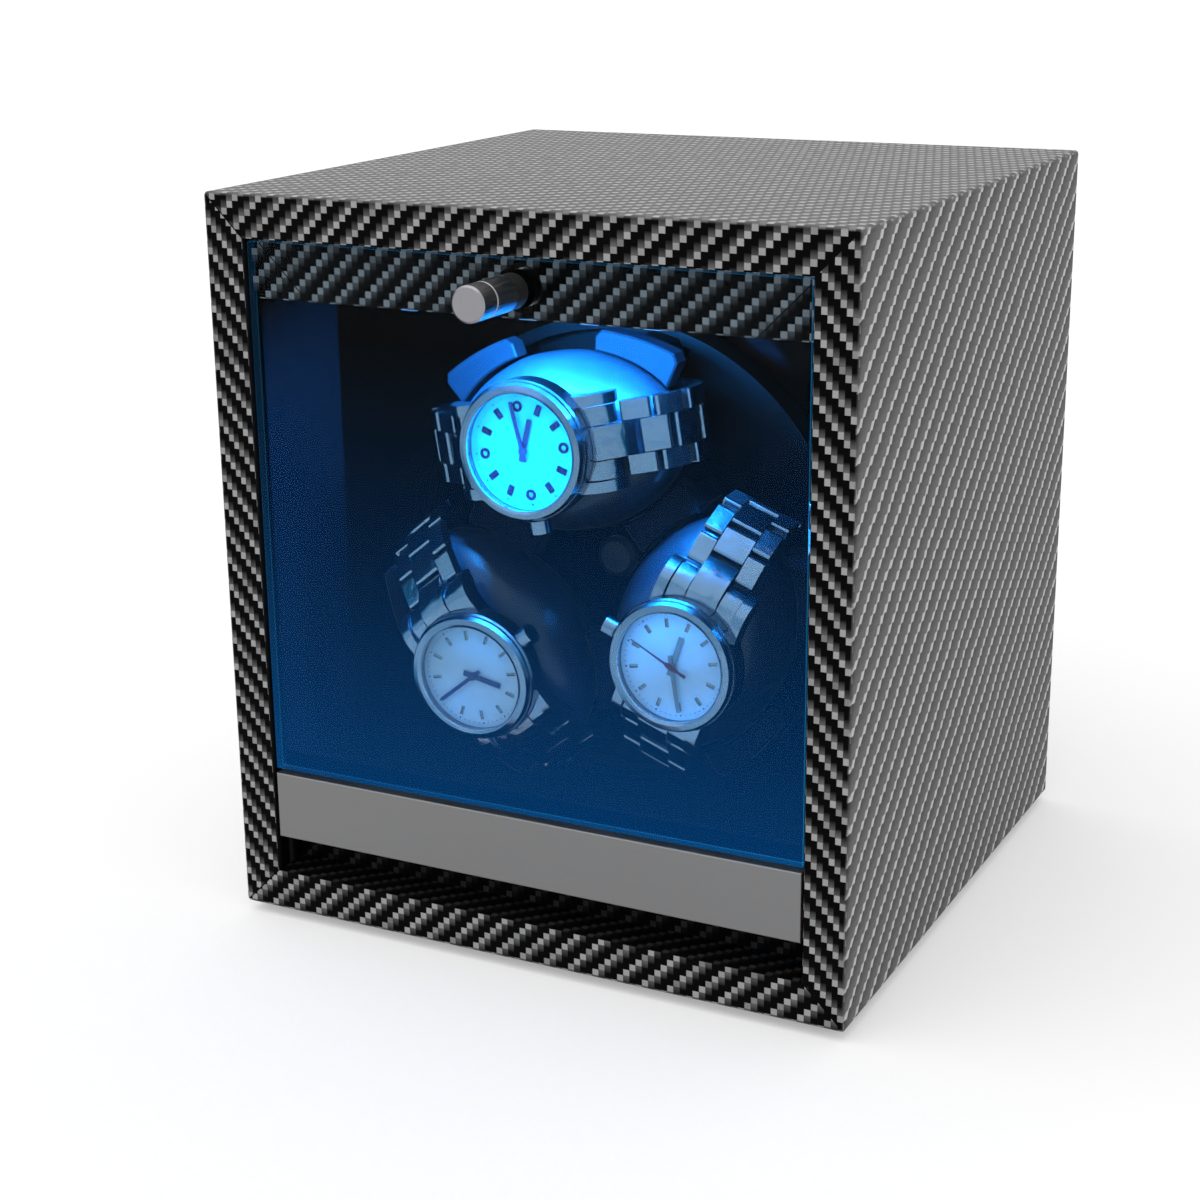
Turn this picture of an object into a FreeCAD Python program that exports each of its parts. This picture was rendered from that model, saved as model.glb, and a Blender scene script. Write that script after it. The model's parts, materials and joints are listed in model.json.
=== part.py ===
import FreeCAD
import Part
import Sketcher
import math
import os

# Countertop watch winder box: a carbon-look cabinet with a drop-down glass door and one
# motor-driven carousel that carries three watches on cushions.
# X is to the right, Y runs to the back, Z is up; lengths are millimetres.

Vector = FreeCAD.Vector
Rotation = FreeCAD.Rotation
Placement = FreeCAD.Placement

doc = FreeCAD.newDocument("watch_winder_box")
sheet = doc.addObject("Spreadsheet::Sheet", "Sizes")

DRIVING_SIZES = [
    # Cabinet
    ("case_width", 190),
    ("case_height", 210),
    ("case_depth", 186),
    ("wall", 12),
    ("edge_round", 1.2),
    ("foot_height", 3),
    ("foot_radius", 8),
    # Front rails and lining
    ("rail_depth", 5.6),
    ("rail_thick", 8.4),
    ("header_height", 17),
    ("toe_recess", 13),
    ("toe_thick", 6),
    ("toe_height", 28),
    ("lining", 1.5),
    # Door
    ("knob_reach", 22),
    ("knob_radius", 4.8),
    ("knob_height", 192),
    ("door_gap", 0.9),
    ("glass_setback", 0.8),
    ("glass_thick", 4),
    ("strip_setback", 0.3),
    ("strip_low", 26),
    ("strip_height", 20),
    ("strip_glass_gap", 1.3),
    ("pivot_depth", 6.8),
    ("pivot_height", 31),
    ("pin_radius", 2),
    ("pin_reach", 7),
    # Carousel
    ("axis_height", 106),
    ("rest_turn", 9),
    ("claw_front", 42),
    ("plate_front", 66.5),
    ("plate_thick", 4),
    ("carousel_radius", 69.5),
    ("claw_inner", 58),
    ("holder_orbit", 37.8),
    ("watch_orbit", 40.5),
    ("cushion_length", 51),
    ("cushion_width", 73),
    ("cushion_depth", 35.6),
    ("cushion_front", 25.6),
    ("shaft_radius", 4),
    # Watches
    ("watch_front", 13),
    ("watch_radius", 19.5),
    ("bracelet_width", 20),
    # Drive
    ("board_front", 74.5),
    ("board_thick", 8),
    ("gear_front", 87),
    ("gear_width", 6),
    ("gear_module", 1),
    ("gear_teeth", 72),
    ("pinion_teeth", 18),
    ("centre_slack", 0.12),
    ("bracket_front", 99),
    ("bracket_thick", 2),
    ("running_gap", 0.05),
    # Back
    ("back_recess", 12),
    ("back_thick", 4),
    ("control_height", 42),
]

for row, (alias, value) in enumerate(DRIVING_SIZES, start=1):
    sheet.set("A%d" % row, alias)
    sheet.set("B%d" % row, str(value))
    sheet.setAlias("B%d" % row, alias)
doc.recompute()

FRONT = "(Sizes.knob_reach - Sizes.case_depth) / 2"
MIDDLE = "(Sizes.foot_height + Sizes.case_height / 2)"
INSIDE = "(Sizes.case_width / 2 - Sizes.wall)"
FLOOR = "(Sizes.foot_height + Sizes.wall)"
CEILING = "(Sizes.foot_height + Sizes.case_height - Sizes.wall)"

nodes = []


def size(alias):
    return float(sheet.get(alias))


def behind(depth):
    """Y of a plane this far behind the front face of the cabinet."""
    return "(%s + %s)" % (FRONT, depth)


def number(expression):
    return float(sheet.evalExpression(expression.replace("Sizes.", "")))


def bind(item, name, expression):
    item.setExpression(name, str(expression))


def locate(item, x="0", y="0", z="0"):
    bind(item, "Placement.Base.x", x)
    bind(item, "Placement.Base.y", y)
    bind(item, "Placement.Base.z", z)
    return item


def keep(item, label):
    """Give a finished sub-part the name of its file."""
    item.Label = label
    nodes.append(item)
    return item


def block(label, x, y, z):
    """A rectangular block between three pairs of limits."""
    item = doc.addObject("Part::Box", label)
    for name, (low, high) in zip(("Length", "Width", "Height"), (x, y, z)):
        bind(item, name, "(%s) - (%s)" % (high, low))
    return locate(item, x[0], y[0], z[0])


def rod(label, radius, y, x="0", z="0"):
    """A round bar along Y between two limits."""
    item = doc.addObject("Part::Cylinder", label)
    bind(item, "Radius", radius)
    bind(item, "Height", "(%s) - (%s)" % (y[1], y[0]))
    item.Placement = Placement(Vector(), Rotation(Vector(1, 0, 0), -90))
    return locate(item, x, y[0], z)


def cross_rod(label, radius, x, y, z):
    """A round bar along X between two limits."""
    item = doc.addObject("Part::Cylinder", label)
    bind(item, "Radius", radius)
    bind(item, "Height", "(%s) - (%s)" % (x[1], x[0]))
    item.Placement = Placement(Vector(), Rotation(Vector(0, 1, 0), 90))
    return locate(item, x[0], y, z)


def join(label, pieces):
    item = doc.addObject("Part::MultiFuse", label)
    item.Shapes = pieces
    return item


def cut(label, base, tools):
    item = doc.addObject("Part::Cut", label)
    item.Base = base
    item.Tool = tools[0] if len(tools) == 1 else join(label + "_tools", tools)
    return item


def group(label, pieces):
    item = doc.addObject("Part::Compound", label)
    item.Links = pieces
    return item


def body(label):
    return doc.addObject("PartDesign::Body", label)


def sketch(owner, role, distance="0"):
    item = owner.newObject("Sketcher::SketchObject", owner.Name + "_sketch")
    plane = [part for part in owner.Origin.OriginFeatures if part.Role == role][0]
    item.AttachmentSupport = [(plane, "")]
    item.MapMode = "FlatFace"
    bind(item, "AttachmentOffset.Base.z", distance)
    return item


def fix_point(item, element, place, x, y):
    """Hold one sketch point at two driving expressions."""
    for axis, expression in (("X", x), ("Y", y)):
        rule = Sketcher.Constraint("Distance" + axis, -1, 1, element, place, number(expression))
        index = item.addConstraint(rule)
        name = "p%d_%d_%s" % (element, place, axis.lower())
        item.renameConstraint(index, name)
        bind(item, "Constraints." + name, expression)


def arc_between(start, end, radius, turn):
    """Arc under a half circle from start to end; turn is 1 for left, -1 for right."""
    chord = end - start
    half = chord.Length / 2
    side = Vector(-chord.y, chord.x, 0).normalize()
    centre = start + chord * 0.5 + side * (turn * math.sqrt(max(radius * radius - half * half, 0)))
    first = math.atan2(start.y - centre.y, start.x - centre.x)
    last = math.atan2(end.y - centre.y, end.x - centre.x)
    circle = Part.Circle(centre, Vector(0, 0, 1), radius)
    if turn > 0:
        return Part.ArcOfCircle(circle, first, last)
    return Part.ArcOfCircle(circle, last, first)


def outline(item, steps):
    """Closed outline. A step is (x, y), or (x, y, radius, turn) when an arc leads to it."""
    places = [Vector(number(step[0]), number(step[1]), 0) for step in steps]
    first = item.GeometryCount
    count = len(steps)
    ends = []
    for index in range(count):
        step = steps[index]
        start = places[index - 1]
        end = places[index]
        if len(step) == 2:
            item.addGeometry(Part.LineSegment(start, end))
            ends.append((1, 2))
        else:
            item.addGeometry(arc_between(start, end, number(step[2]), step[3]))
            ends.append((1, 2) if step[3] > 0 else (2, 1))
    for index in range(count):
        after = (index + 1) % count
        rule = Sketcher.Constraint(
            "Coincident", first + index, ends[index][1], first + after, ends[after][0])
        item.addConstraint(rule)
    for index in range(count):
        step = steps[index]
        fix_point(item, first + index, ends[index][1], step[0], step[1])
        if len(step) == 4:
            rule = Sketcher.Constraint("Radius", first + index, number(step[2]))
            rule_index = item.addConstraint(rule)
            name = "r%d" % (first + index)
            item.renameConstraint(rule_index, name)
            bind(item, "Constraints." + name, step[2])


def rectangle(item, x, y):
    outline(item, [(x[0], y[0]), (x[1], y[0]), (x[1], y[1]), (x[0], y[1])])


def hole(item, x, y, radius):
    place = Vector(number(x), number(y), 0)
    element = item.GeometryCount
    item.addGeometry(Part.Circle(place, Vector(0, 0, 1), number(radius)))
    fix_point(item, element, 3, x, y)
    index = item.addConstraint(Sketcher.Constraint("Radius", element, number(radius)))
    name = "r%d" % element
    item.renameConstraint(index, name)
    bind(item, "Constraints." + name, radius)


def pad(owner, profile, length, reverse=False):
    item = owner.newObject("PartDesign::Pad", owner.Name + "_pad")
    item.Profile = profile
    bind(item, "Length", length)
    item.Reversed = reverse
    return item


def pocket(owner, profile, length, reverse=False):
    item = owner.newObject("PartDesign::Pocket", owner.Name + "_pocket")
    item.Profile = profile
    bind(item, "Length", length)
    item.Reversed = reverse
    return item


def picked(feature, chosen):
    """Names of the edges of a feature that a test picks."""
    doc.recompute()
    return ["Edge%d" % index for index, edge in enumerate(feature.Shape.Edges, start=1) if chosen(edge)]


def soften(owner, feature, radius, chosen):
    """Round the chosen edges of a feature."""
    names = picked(feature, chosen)
    item = owner.newObject("PartDesign::Fillet", owner.Name + "_fillet")
    item.Base = (feature, names)
    bind(item, "Radius", radius)
    return item


def bevel(owner, feature, width, chosen):
    """Chamfer the chosen edges of a feature."""
    names = picked(feature, chosen)
    item = owner.newObject("PartDesign::Chamfer", owner.Name + "_chamfer")
    item.Base = (feature, names)
    bind(item, "Size", width)
    return item


def turned(label, steps, x="0", z="0"):
    """A piece turned about Y; each step gives its radius and its Y."""
    owner = body(label)
    profile = sketch(owner, "XY_Plane")
    outline(profile, steps)
    item = owner.newObject("PartDesign::Revolution", label + "_turn")
    item.Profile = profile
    item.ReferenceAxis = (profile, ["V_Axis"])
    item.Angle = 360
    locate(owner, x, "0", z)
    return owner


def plate(label, y, draw):
    """A sheet of material drawn from the front and padded to the back."""
    owner = body(label)
    profile = sketch(owner, "XZ_Plane")
    draw(profile)
    pad(owner, profile, "(%s) - (%s)" % (y[1], y[0]), reverse=True)
    locate(owner, "0", y[0], "0")
    return owner


def on_front(edge, level):
    return all(abs(point.Y - level) < 0.001 for point in edge.Vertexes)


# Cabinet: four mitred panels

def cabinet_panel(label, half_along, half_out, to_front_view):
    """One wall with mitred ends; the outline is drawn for the top and turned to its side."""
    round_in = "Sizes.edge_round"
    trim = "Sizes.edge_round * (1 - cos(45))"
    corners = [
        ("-(%s - %s)" % (half_along, trim), "%s - %s" % (half_out, trim)),
        ("-(%s - %s)" % (half_along, round_in), half_out, round_in, -1),
        ("%s - %s" % (half_along, round_in), half_out),
        ("%s - %s" % (half_along, trim), "%s - %s" % (half_out, trim), round_in, -1),
        ("%s - Sizes.wall" % half_along, "%s - Sizes.wall" % half_out),
        ("-(%s - Sizes.wall)" % half_along, "%s - Sizes.wall" % half_out),
    ]
    owner = body(label)
    profile = sketch(owner, "XZ_Plane")
    outline(profile, [to_front_view(step[0], step[1]) + step[2:] for step in corners])
    wall_pad = pad(owner, profile, "Sizes.case_depth", reverse=True)
    locate(owner, "0", FRONT, "0")
    return owner, wall_pad


def outer_front_edges(depth):
    """Edges of a panel's front and back ends that are not on the mitres or the inside."""
    limit_x = size("case_width") / 2 - 1.3
    limit_z = size("case_height") / 2 - 1.3
    middle = number(MIDDLE)

    def chosen(edge):
        if not (on_front(edge, 0) or on_front(edge, depth)):
            return False
        centre = edge.CenterOfMass
        return abs(centre.x) > limit_x or abs(centre.z - middle) > limit_z
    return chosen


WIDE = "Sizes.case_width / 2"
TALL = "Sizes.case_height / 2"
PANELS = [
    ("top_panel", WIDE, TALL, lambda a, o: (a, "%s + (%s)" % (MIDDLE, o))),
    ("bottom_panel", WIDE, TALL, lambda a, o: ("-(%s)" % a, "%s - (%s)" % (MIDDLE, o))),
    ("left_panel", TALL, WIDE, lambda a, o: ("-(%s)" % o, "%s + (%s)" % (MIDDLE, a))),
    ("right_panel", TALL, WIDE, lambda a, o: (o, "%s - (%s)" % (MIDDLE, a))),
]

for label, half_along, half_out, view in PANELS:
    panel, last = cabinet_panel(label, half_along, half_out, view)
    if label in ("left_panel", "right_panel"):
        side = -1 if label == "left_panel" else 1
        seat = sketch(panel, "YZ_Plane", "%d * %s" % (side, INSIDE))
        hole(seat, "Sizes.pivot_depth", "Sizes.pivot_height", "Sizes.pin_radius + 2")
        last = pocket(panel, seat, "Sizes.pin_reach + 1", reverse=side > 0)
    last = soften(panel, last, "Sizes.edge_round * 0.7", outer_front_edges(size("case_depth")))
    keep(panel, label)

# Front rails, lining and boards inside the cabinet

SPAN = ("-" + INSIDE, INSIDE)
RAIL_BACK = "(Sizes.rail_depth + Sizes.rail_thick)"
HEADER_LOW = "(%s - Sizes.header_height)" % CEILING
TOE_TOP = "(%s + Sizes.toe_height)" % FLOOR
TOE_BACK = "(Sizes.toe_recess + Sizes.toe_thick)"

header_bar = block(
    "header_bar", SPAN, (behind("Sizes.rail_depth"), behind(RAIL_BACK)), (HEADER_LOW, CEILING))
magnet_seat = rod(
    "magnet_seat", "6.4", (behind("Sizes.rail_depth - 1"), behind("Sizes.rail_depth + 6.4")),
    z="Sizes.knob_height")
LIGHT_SEAT = "(%s + 1.4)" % HEADER_LOW
light_groove = block(
    "light_groove", ("-46.2", "46.2"), (behind("8"), behind("13")), (HEADER_LOW + " - 1", LIGHT_SEAT))
keep(cut("header_rail", header_bar, [magnet_seat, light_groove]), "header_rail")
keep(rod(
    "catch_magnet", "5", (behind("Sizes.rail_depth + 3.4"), behind("Sizes.rail_depth + 6.4")),
    z="Sizes.knob_height"), "catch_magnet")
keep(block(
    "toe_panel", SPAN, (behind("Sizes.toe_recess"), behind(TOE_BACK)), (FLOOR, TOE_TOP)), "toe_panel")

stop_pads = []
for side in ("-66", "66"):
    stop_pads.append(block(
        "stop_pad", (side + " - 6", side + " + 6"),
        (behind("Sizes.toe_recess - 0.8"), behind("Sizes.toe_recess")), ("23", "30")))
keep(group("door_stop_pads", stop_pads), "door_stop_pads")

LINED_FLOOR = "%s + Sizes.lining" % FLOOR
LINED_CEILING = "%s - Sizes.lining" % CEILING


def side_lining(label, inner_face):
    """Thin side board, notched around the header and the toe panel."""
    owner = body(label)
    profile = sketch(owner, "YZ_Plane", inner_face)
    outline(profile, [
        (behind(TOE_BACK), LINED_FLOOR),
        (behind("Sizes.board_front"), LINED_FLOOR),
        (behind("Sizes.board_front"), LINED_CEILING),
        (behind(RAIL_BACK), LINED_CEILING),
        (behind(RAIL_BACK), HEADER_LOW),
        (behind("Sizes.rail_depth"), HEADER_LOW),
        (behind("Sizes.rail_depth"), TOE_TOP),
        (behind(TOE_BACK), TOE_TOP),
    ])
    pad(owner, profile, "Sizes.lining")
    return owner


keep(group("side_linings", [
    side_lining("left_lining", "-" + INSIDE),
    side_lining("right_lining", "%s - Sizes.lining" % INSIDE)]), "side_linings")
keep(group("floor_and_ceiling_linings", [
    block("ceiling_lining", SPAN, (behind(RAIL_BACK), behind("Sizes.board_front")),
          (LINED_CEILING, CEILING)),
    block("floor_lining", SPAN, (behind(TOE_BACK), behind("Sizes.board_front")),
          (FLOOR, LINED_FLOOR))]), "floor_and_ceiling_linings")

BOARD_BACK = "(Sizes.board_front + Sizes.board_thick)"


def draw_mechanism_board(profile):
    rectangle(profile, SPAN, (FLOOR, CEILING))
    hole(profile, "0", "Sizes.axis_height", "9")
    for spot in ("-60", "60"):
        hole(profile, spot, "%s - 8" % CEILING, "2.5")


keep(plate(
    "mechanism_board", (behind("Sizes.board_front"), behind(BOARD_BACK)), draw_mechanism_board),
    "mechanism_board")

# Light bar in a groove under the header, with five diodes that face down

keep(block(
    "light_bar", ("-46", "46"), (behind("8.2"), behind("12.8")), (LIGHT_SEAT + " - 1", LIGHT_SEAT)),
    "light_bar")
emitters = []
for spot in range(-2, 3):
    emitters.append(block(
        "emitter", ("%d - 2.5" % (spot * 18), "%d + 2.5" % (spot * 18)),
        (behind("9"), behind("12")), (LIGHT_SEAT + " - 2.2", LIGHT_SEAT + " - 1")))
keep(group("light_emitters", emitters), "light_emitters")

# Feet

feet = []
for side in ("-", ""):
    for depth in ("20", "Sizes.case_depth - 20"):
        foot = doc.addObject("Part::Cone", "foot")
        bind(foot, "Radius1", "Sizes.foot_radius - 1")
        bind(foot, "Radius2", "Sizes.foot_radius")
        bind(foot, "Height", "Sizes.foot_height")
        feet.append(locate(foot, side + "(Sizes.case_width / 2 - 18)", behind(depth)))
keep(group("rubber_feet", feet), "rubber_feet")

# Drop-down door: glass pane, metal strip, carrier rail, pivots and knob

GLASS_BACK = "(Sizes.glass_setback + Sizes.glass_thick)"
DOOR_HALF = "(%s - Sizes.door_gap)" % INSIDE
STRIP_TOP = "(Sizes.strip_low + Sizes.strip_height)"
GLASS_LOW = "(%s + Sizes.strip_glass_gap)" % STRIP_TOP
GLASS_TOP = "(%s - Sizes.door_gap)" % CEILING


def draw_glass(profile):
    rectangle(profile, ("-" + DOOR_HALF, DOOR_HALF), (GLASS_LOW, GLASS_TOP))
    hole(profile, "0", "Sizes.knob_height", "2.6")


glass = plate("door_glass", (behind("Sizes.glass_setback"), behind(GLASS_BACK)), draw_glass)
glass_reach = number(DOOR_HALF) - 0.01
soften(glass, glass.Tip, "0.4", lambda edge: abs(edge.CenterOfMass.x) > glass_reach
       or edge.Length > 150)
keep(glass, "door_glass")

strip = plate(
    "door_strip", (behind("Sizes.strip_setback"), behind(GLASS_BACK)),
    lambda profile: rectangle(profile, ("-" + DOOR_HALF, DOOR_HALF), ("Sizes.strip_low", STRIP_TOP)))
soften(strip, strip.Tip, "0.5", lambda edge: on_front(edge, 0))
keep(strip, "door_strip")

RAIL_HALF = "(%s - Sizes.lining - 0.4)" % INSIDE
carrier = body("glass_carrier")
carrier_profile = sketch(carrier, "YZ_Plane", "-" + RAIL_HALF)
outline(carrier_profile, [
    (behind(GLASS_BACK), "Sizes.pivot_height - 4"),
    (behind(GLASS_BACK + " + 5"), "Sizes.pivot_height - 4"),
    (behind(GLASS_BACK + " + 5"), "Sizes.pivot_height + 5"),
    (behind(GLASS_BACK + " + 2"), "Sizes.pivot_height + 8"),
    (behind(GLASS_BACK + " + 2"), GLASS_LOW + " + 4.5"),
    (behind(GLASS_BACK), GLASS_LOW + " + 4.5"),
])
pad(carrier, carrier_profile, "2 * " + RAIL_HALF)
for side in (-1, 1):
    pin_seat = sketch(carrier, "YZ_Plane", "%d * %s" % (side, RAIL_HALF))
    hole(pin_seat, behind("Sizes.pivot_depth"), "Sizes.pivot_height", "Sizes.pin_radius + 0.01")
    pocket(carrier, pin_seat, "9", reverse=side < 0)
keep(carrier, "glass_carrier")

pins = []
bushes = []
for side in (-1, 1):
    def reach(low, high):
        inner = "(%s + %s)" % (INSIDE, low)
        outer = "(%s + %s)" % (INSIDE, high)
        return (inner, outer) if side > 0 else ("-" + outer, "-" + inner)

    spot = (behind("Sizes.pivot_depth"), "Sizes.pivot_height")
    pins.append(cross_rod("pin", "Sizes.pin_radius", reach("(-10)", "Sizes.pin_reach - 0.5"), *spot))
    sleeve = cross_rod("sleeve", "Sizes.pin_radius + 1.98", reach("0", "Sizes.pin_reach"), *spot)
    flange = cross_rod("flange", "Sizes.pin_radius + 3", reach("(-0.6)", "0"), *spot)
    bore = cross_rod(
        "bore", "Sizes.pin_radius + Sizes.running_gap", reach("(-1)", "Sizes.pin_reach + 1"), *spot)
    bushes.append(cut("bush", join("bush_blank", [sleeve, flange]), [bore]))
keep(group("pivot_pins", pins), "pivot_pins")
keep(group("pivot_bushes", bushes), "pivot_bushes")

KNOB_TIP = "-Sizes.knob_reach"
KNOB_BASE = "(Sizes.glass_setback - 5)"
keep(turned("door_knob", [
    ("0", behind(KNOB_TIP)),
    ("Sizes.knob_radius - 0.5", behind(KNOB_TIP)),
    ("Sizes.knob_radius", behind(KNOB_TIP + " + 0.5")),
    ("Sizes.knob_radius", behind(KNOB_TIP + " + 6.6")),
    ("Sizes.knob_radius - 0.3", behind(KNOB_TIP + " + 6.8")),
    ("Sizes.knob_radius - 0.3", behind(KNOB_TIP + " + 7.1")),
    ("Sizes.knob_radius", behind(KNOB_TIP + " + 7.3")),
    ("Sizes.knob_radius", behind(KNOB_BASE + " - 0.4")),
    ("Sizes.knob_radius - 0.4", behind(KNOB_BASE)),
    ("2.01", behind(KNOB_BASE)),
    ("2.01", behind(KNOB_BASE + " - 10")),
    ("0", behind(KNOB_BASE + " - 10")),
], z="Sizes.knob_height"), "door_knob")
keep(turned("knob_screw", [
    ("0", behind(KNOB_BASE + " - 9.5")),
    ("2", behind(KNOB_BASE + " - 9.5")),
    ("2", behind(GLASS_BACK + " + 0.8")),
    ("4", behind(GLASS_BACK + " + 0.8")),
    ("4", behind(GLASS_BACK + " + 2")),
    ("3.2", behind(GLASS_BACK + " + 2.8")),
    ("0", behind(GLASS_BACK + " + 2.8")),
], z="Sizes.knob_height"), "knob_screw")
washers = []
for radius, low, high in (
        ("Sizes.knob_radius - 0.1", KNOB_BASE, "Sizes.glass_setback"),
        ("5", GLASS_BACK, GLASS_BACK + " + 0.8")):
    disc = rod("washer_disc", radius, (behind(low), behind(high)), z="Sizes.knob_height")
    eye = rod("washer_eye", "2.2", (behind(low + " - 1"), behind(high + " + 1")), z="Sizes.knob_height")
    washers.append(cut("washer", disc, [eye]))
keep(group("knob_washers", washers), "knob_washers")

# Carousel: one moulded turntable with rim claws and webs around three cushion wells

THIRDS = (("top", 0), ("left", 120), ("right", -120))


def ride(item, orbit="0", third=0):
    """Put a piece drawn at the carousel centre on its third of the turntable."""
    turn = "(Sizes.rest_turn + %d)" % third
    item.Placement = Placement(Vector(), Rotation(Vector(0, 1, 0), -(size("rest_turn") + third)))
    return locate(
        item, "-(%s) * sin(%s)" % (orbit, turn), "0",
        "Sizes.axis_height + (%s) * cos(%s)" % (orbit, turn))


def polar(radius, angle):
    return "(%s) * cos(%s)" % (radius, angle), "(%s) * sin(%s)" % (radius, angle)


def at_depth(owner, depth):
    """A front-view sketch this far behind the front face."""
    return sketch(owner, "XZ_Plane", "-" + behind(depth))


def thrice(owner, feature):
    """Repeat a feature on the three thirds of the carousel."""
    item = owner.newObject("PartDesign::PolarPattern", owner.Name + "_thirds")
    item.Originals = [feature]
    axis = [part for part in owner.Origin.OriginFeatures if part.Role == "Y_Axis"][0]
    item.Axis = (axis, [""])
    item.Angle = 360
    item.Occurrences = 3
    owner.Tip = item
    return item


PLATE_BACK = "(Sizes.plate_front + Sizes.plate_thick)"
SHAFT_FIT = "Sizes.shaft_radius + 0.01"
RIM_STEP = "5.5"
turntable = body("turntable")
disc = at_depth(turntable, PLATE_BACK)
hole(disc, "0", "0", "Sizes.carousel_radius")
hole(disc, "0", "0", SHAFT_FIT)
pad(turntable, disc, "Sizes.plate_thick")
rim = at_depth(turntable, "Sizes.plate_front")
hole(rim, "0", "0", "Sizes.carousel_radius")
hole(rim, "0", "0", "Sizes.carousel_radius - 3.5")
pad(turntable, rim, RIM_STEP)
front_boss = at_depth(turntable, "Sizes.plate_front")
hole(front_boss, "0", "0", "11")
hole(front_boss, "0", "0", SHAFT_FIT)
pad(turntable, front_boss, RIM_STEP)
rear_boss = at_depth(turntable, PLATE_BACK)
hole(rear_boss, "0", "0", "10")
hole(rear_boss, "0", "0", SHAFT_FIT)
pad(turntable, rear_boss, "2.1", reverse=True)


def web_point(out, across):
    """A point on the spoke that leaves the centre at thirty degrees."""
    return (
        "%s * cos(30) - %s * sin(30)" % (out, across),
        "%s * sin(30) + %s * cos(30)" % (out, across))


def claw_layer(depth, front, half_angle, rim, web):
    """Two rim claws and one web between these depths, on every third of the carousel."""
    layer = at_depth(turntable, depth)
    for middle in (68, 112):
        low = middle - half_angle
        high = middle + half_angle
        outline(layer, [
            polar("Sizes.claw_inner", str(high)),
            polar("Sizes.claw_inner", str(low)),
            polar(rim + " - 2", str(low)),
            polar(rim, str(low + 1.6)),
            polar(rim, str(high - 1.6)) + (rim, 1),
            polar(rim + " - 2", str(high)),
        ])
    outline(layer, [web_point(out, across) for out, across in web])
    thrice(turntable, pad(turntable, layer, "%s - %s" % (depth, front)))


# Each claw is a broad plate on a narrower stem that rises from the turntable.
CLAW_BACK = "(Sizes.claw_front + 6)"
claw_layer("Sizes.plate_front", CLAW_BACK, 5, "Sizes.carousel_radius - 2", (
    ("20", "(-3.4)"), ("37", "(-3.4)"), ("37", "3.4"), ("20", "3.4")))
claw_layer(CLAW_BACK, "Sizes.claw_front", 10.8, "Sizes.carousel_radius", (
    ("17.5", "(-4)"), ("19.5", "(-6)"), ("38.5", "(-7)"), ("40.5", "(-3.5)"),
    ("40.5", "3.5"), ("38.5", "7"), ("19.5", "6"), ("17.5", "4")))

well = at_depth(turntable, "Sizes.claw_front")
well.addGeometry(Part.Ellipse(
    Vector(0, size("holder_orbit"), 0), size("cushion_width") / 2 + 0.6, size("cushion_length") / 2 + 0.5))
well.exposeInternalGeometry(0)
fix_point(well, 0, 3, "0", "Sizes.holder_orbit")
well.addConstraint(Sketcher.Constraint("Horizontal", 1))
for line, name, expression in (
        (1, "well_width", "Sizes.cushion_width + 1.2"), (2, "well_length", "Sizes.cushion_length + 1")):
    rule = well.addConstraint(Sketcher.Constraint("Distance", line, number(expression)))
    well.renameConstraint(rule, name)
    bind(well, "Constraints." + name, expression)
well_cut = pocket(turntable, well, "Sizes.plate_front - Sizes.claw_front - " + RIM_STEP)
wells = thrice(turntable, well_cut)
claw_level = number(behind("Sizes.claw_front"))
bevel(turntable, wells, "0.5", lambda edge: on_front(edge, claw_level))
keep(ride(turntable), "turntable")

# Shaft of the carousel with its screw, bushes and clip

BOSS_FRONT = "(Sizes.plate_front - %s)" % RIM_STEP
BUSH_LENGTH = "Sizes.board_thick"
CLIP_FRONT = "(Sizes.bracket_front + %s + 0.4)" % BUSH_LENGTH
AXIS = "Sizes.axis_height"
keep(turned("carousel_shaft", [
    ("2.01", behind(BOSS_FRONT + " + 1")),
    ("Sizes.shaft_radius", behind(BOSS_FRONT + " + 1")),
    ("Sizes.shaft_radius", behind(CLIP_FRONT)),
    ("Sizes.shaft_radius - 0.6", behind(CLIP_FRONT)),
    ("Sizes.shaft_radius - 0.6", behind(CLIP_FRONT + " + 1")),
    ("Sizes.shaft_radius", behind(CLIP_FRONT + " + 1")),
    ("Sizes.shaft_radius", behind(CLIP_FRONT + " + 3")),
    ("0", behind(CLIP_FRONT + " + 3")),
    ("0", behind(BOSS_FRONT + " + 12")),
    ("2.01", behind(BOSS_FRONT + " + 12")),
], z=AXIS), "carousel_shaft")
keep(turned("carousel_screw", [
    ("0", behind(BOSS_FRONT + " - 2.4")),
    ("4.6", behind(BOSS_FRONT + " - 2.4")),
    ("6", behind(BOSS_FRONT + " - 1.4")),
    ("6", behind(BOSS_FRONT)),
    ("2", behind(BOSS_FRONT)),
    ("2", behind(BOSS_FRONT + " + 11.5")),
    ("0", behind(BOSS_FRONT + " + 11.5")),
], z=AXIS), "carousel_screw")


def shaft_bush(label, seat):
    """Flanged plain bearing whose flange is in front of its seat."""
    return turned(label, [
        ("Sizes.shaft_radius + Sizes.running_gap", behind(seat + " - 1.6")),
        ("12", behind(seat + " - 1.6")),
        ("12", behind(seat)),
        ("8.98", behind(seat)),
        ("8.98", behind(seat + " + " + BUSH_LENGTH)),
        ("Sizes.shaft_radius + Sizes.running_gap", behind(seat + " + " + BUSH_LENGTH)),
    ], z=AXIS)


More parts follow.
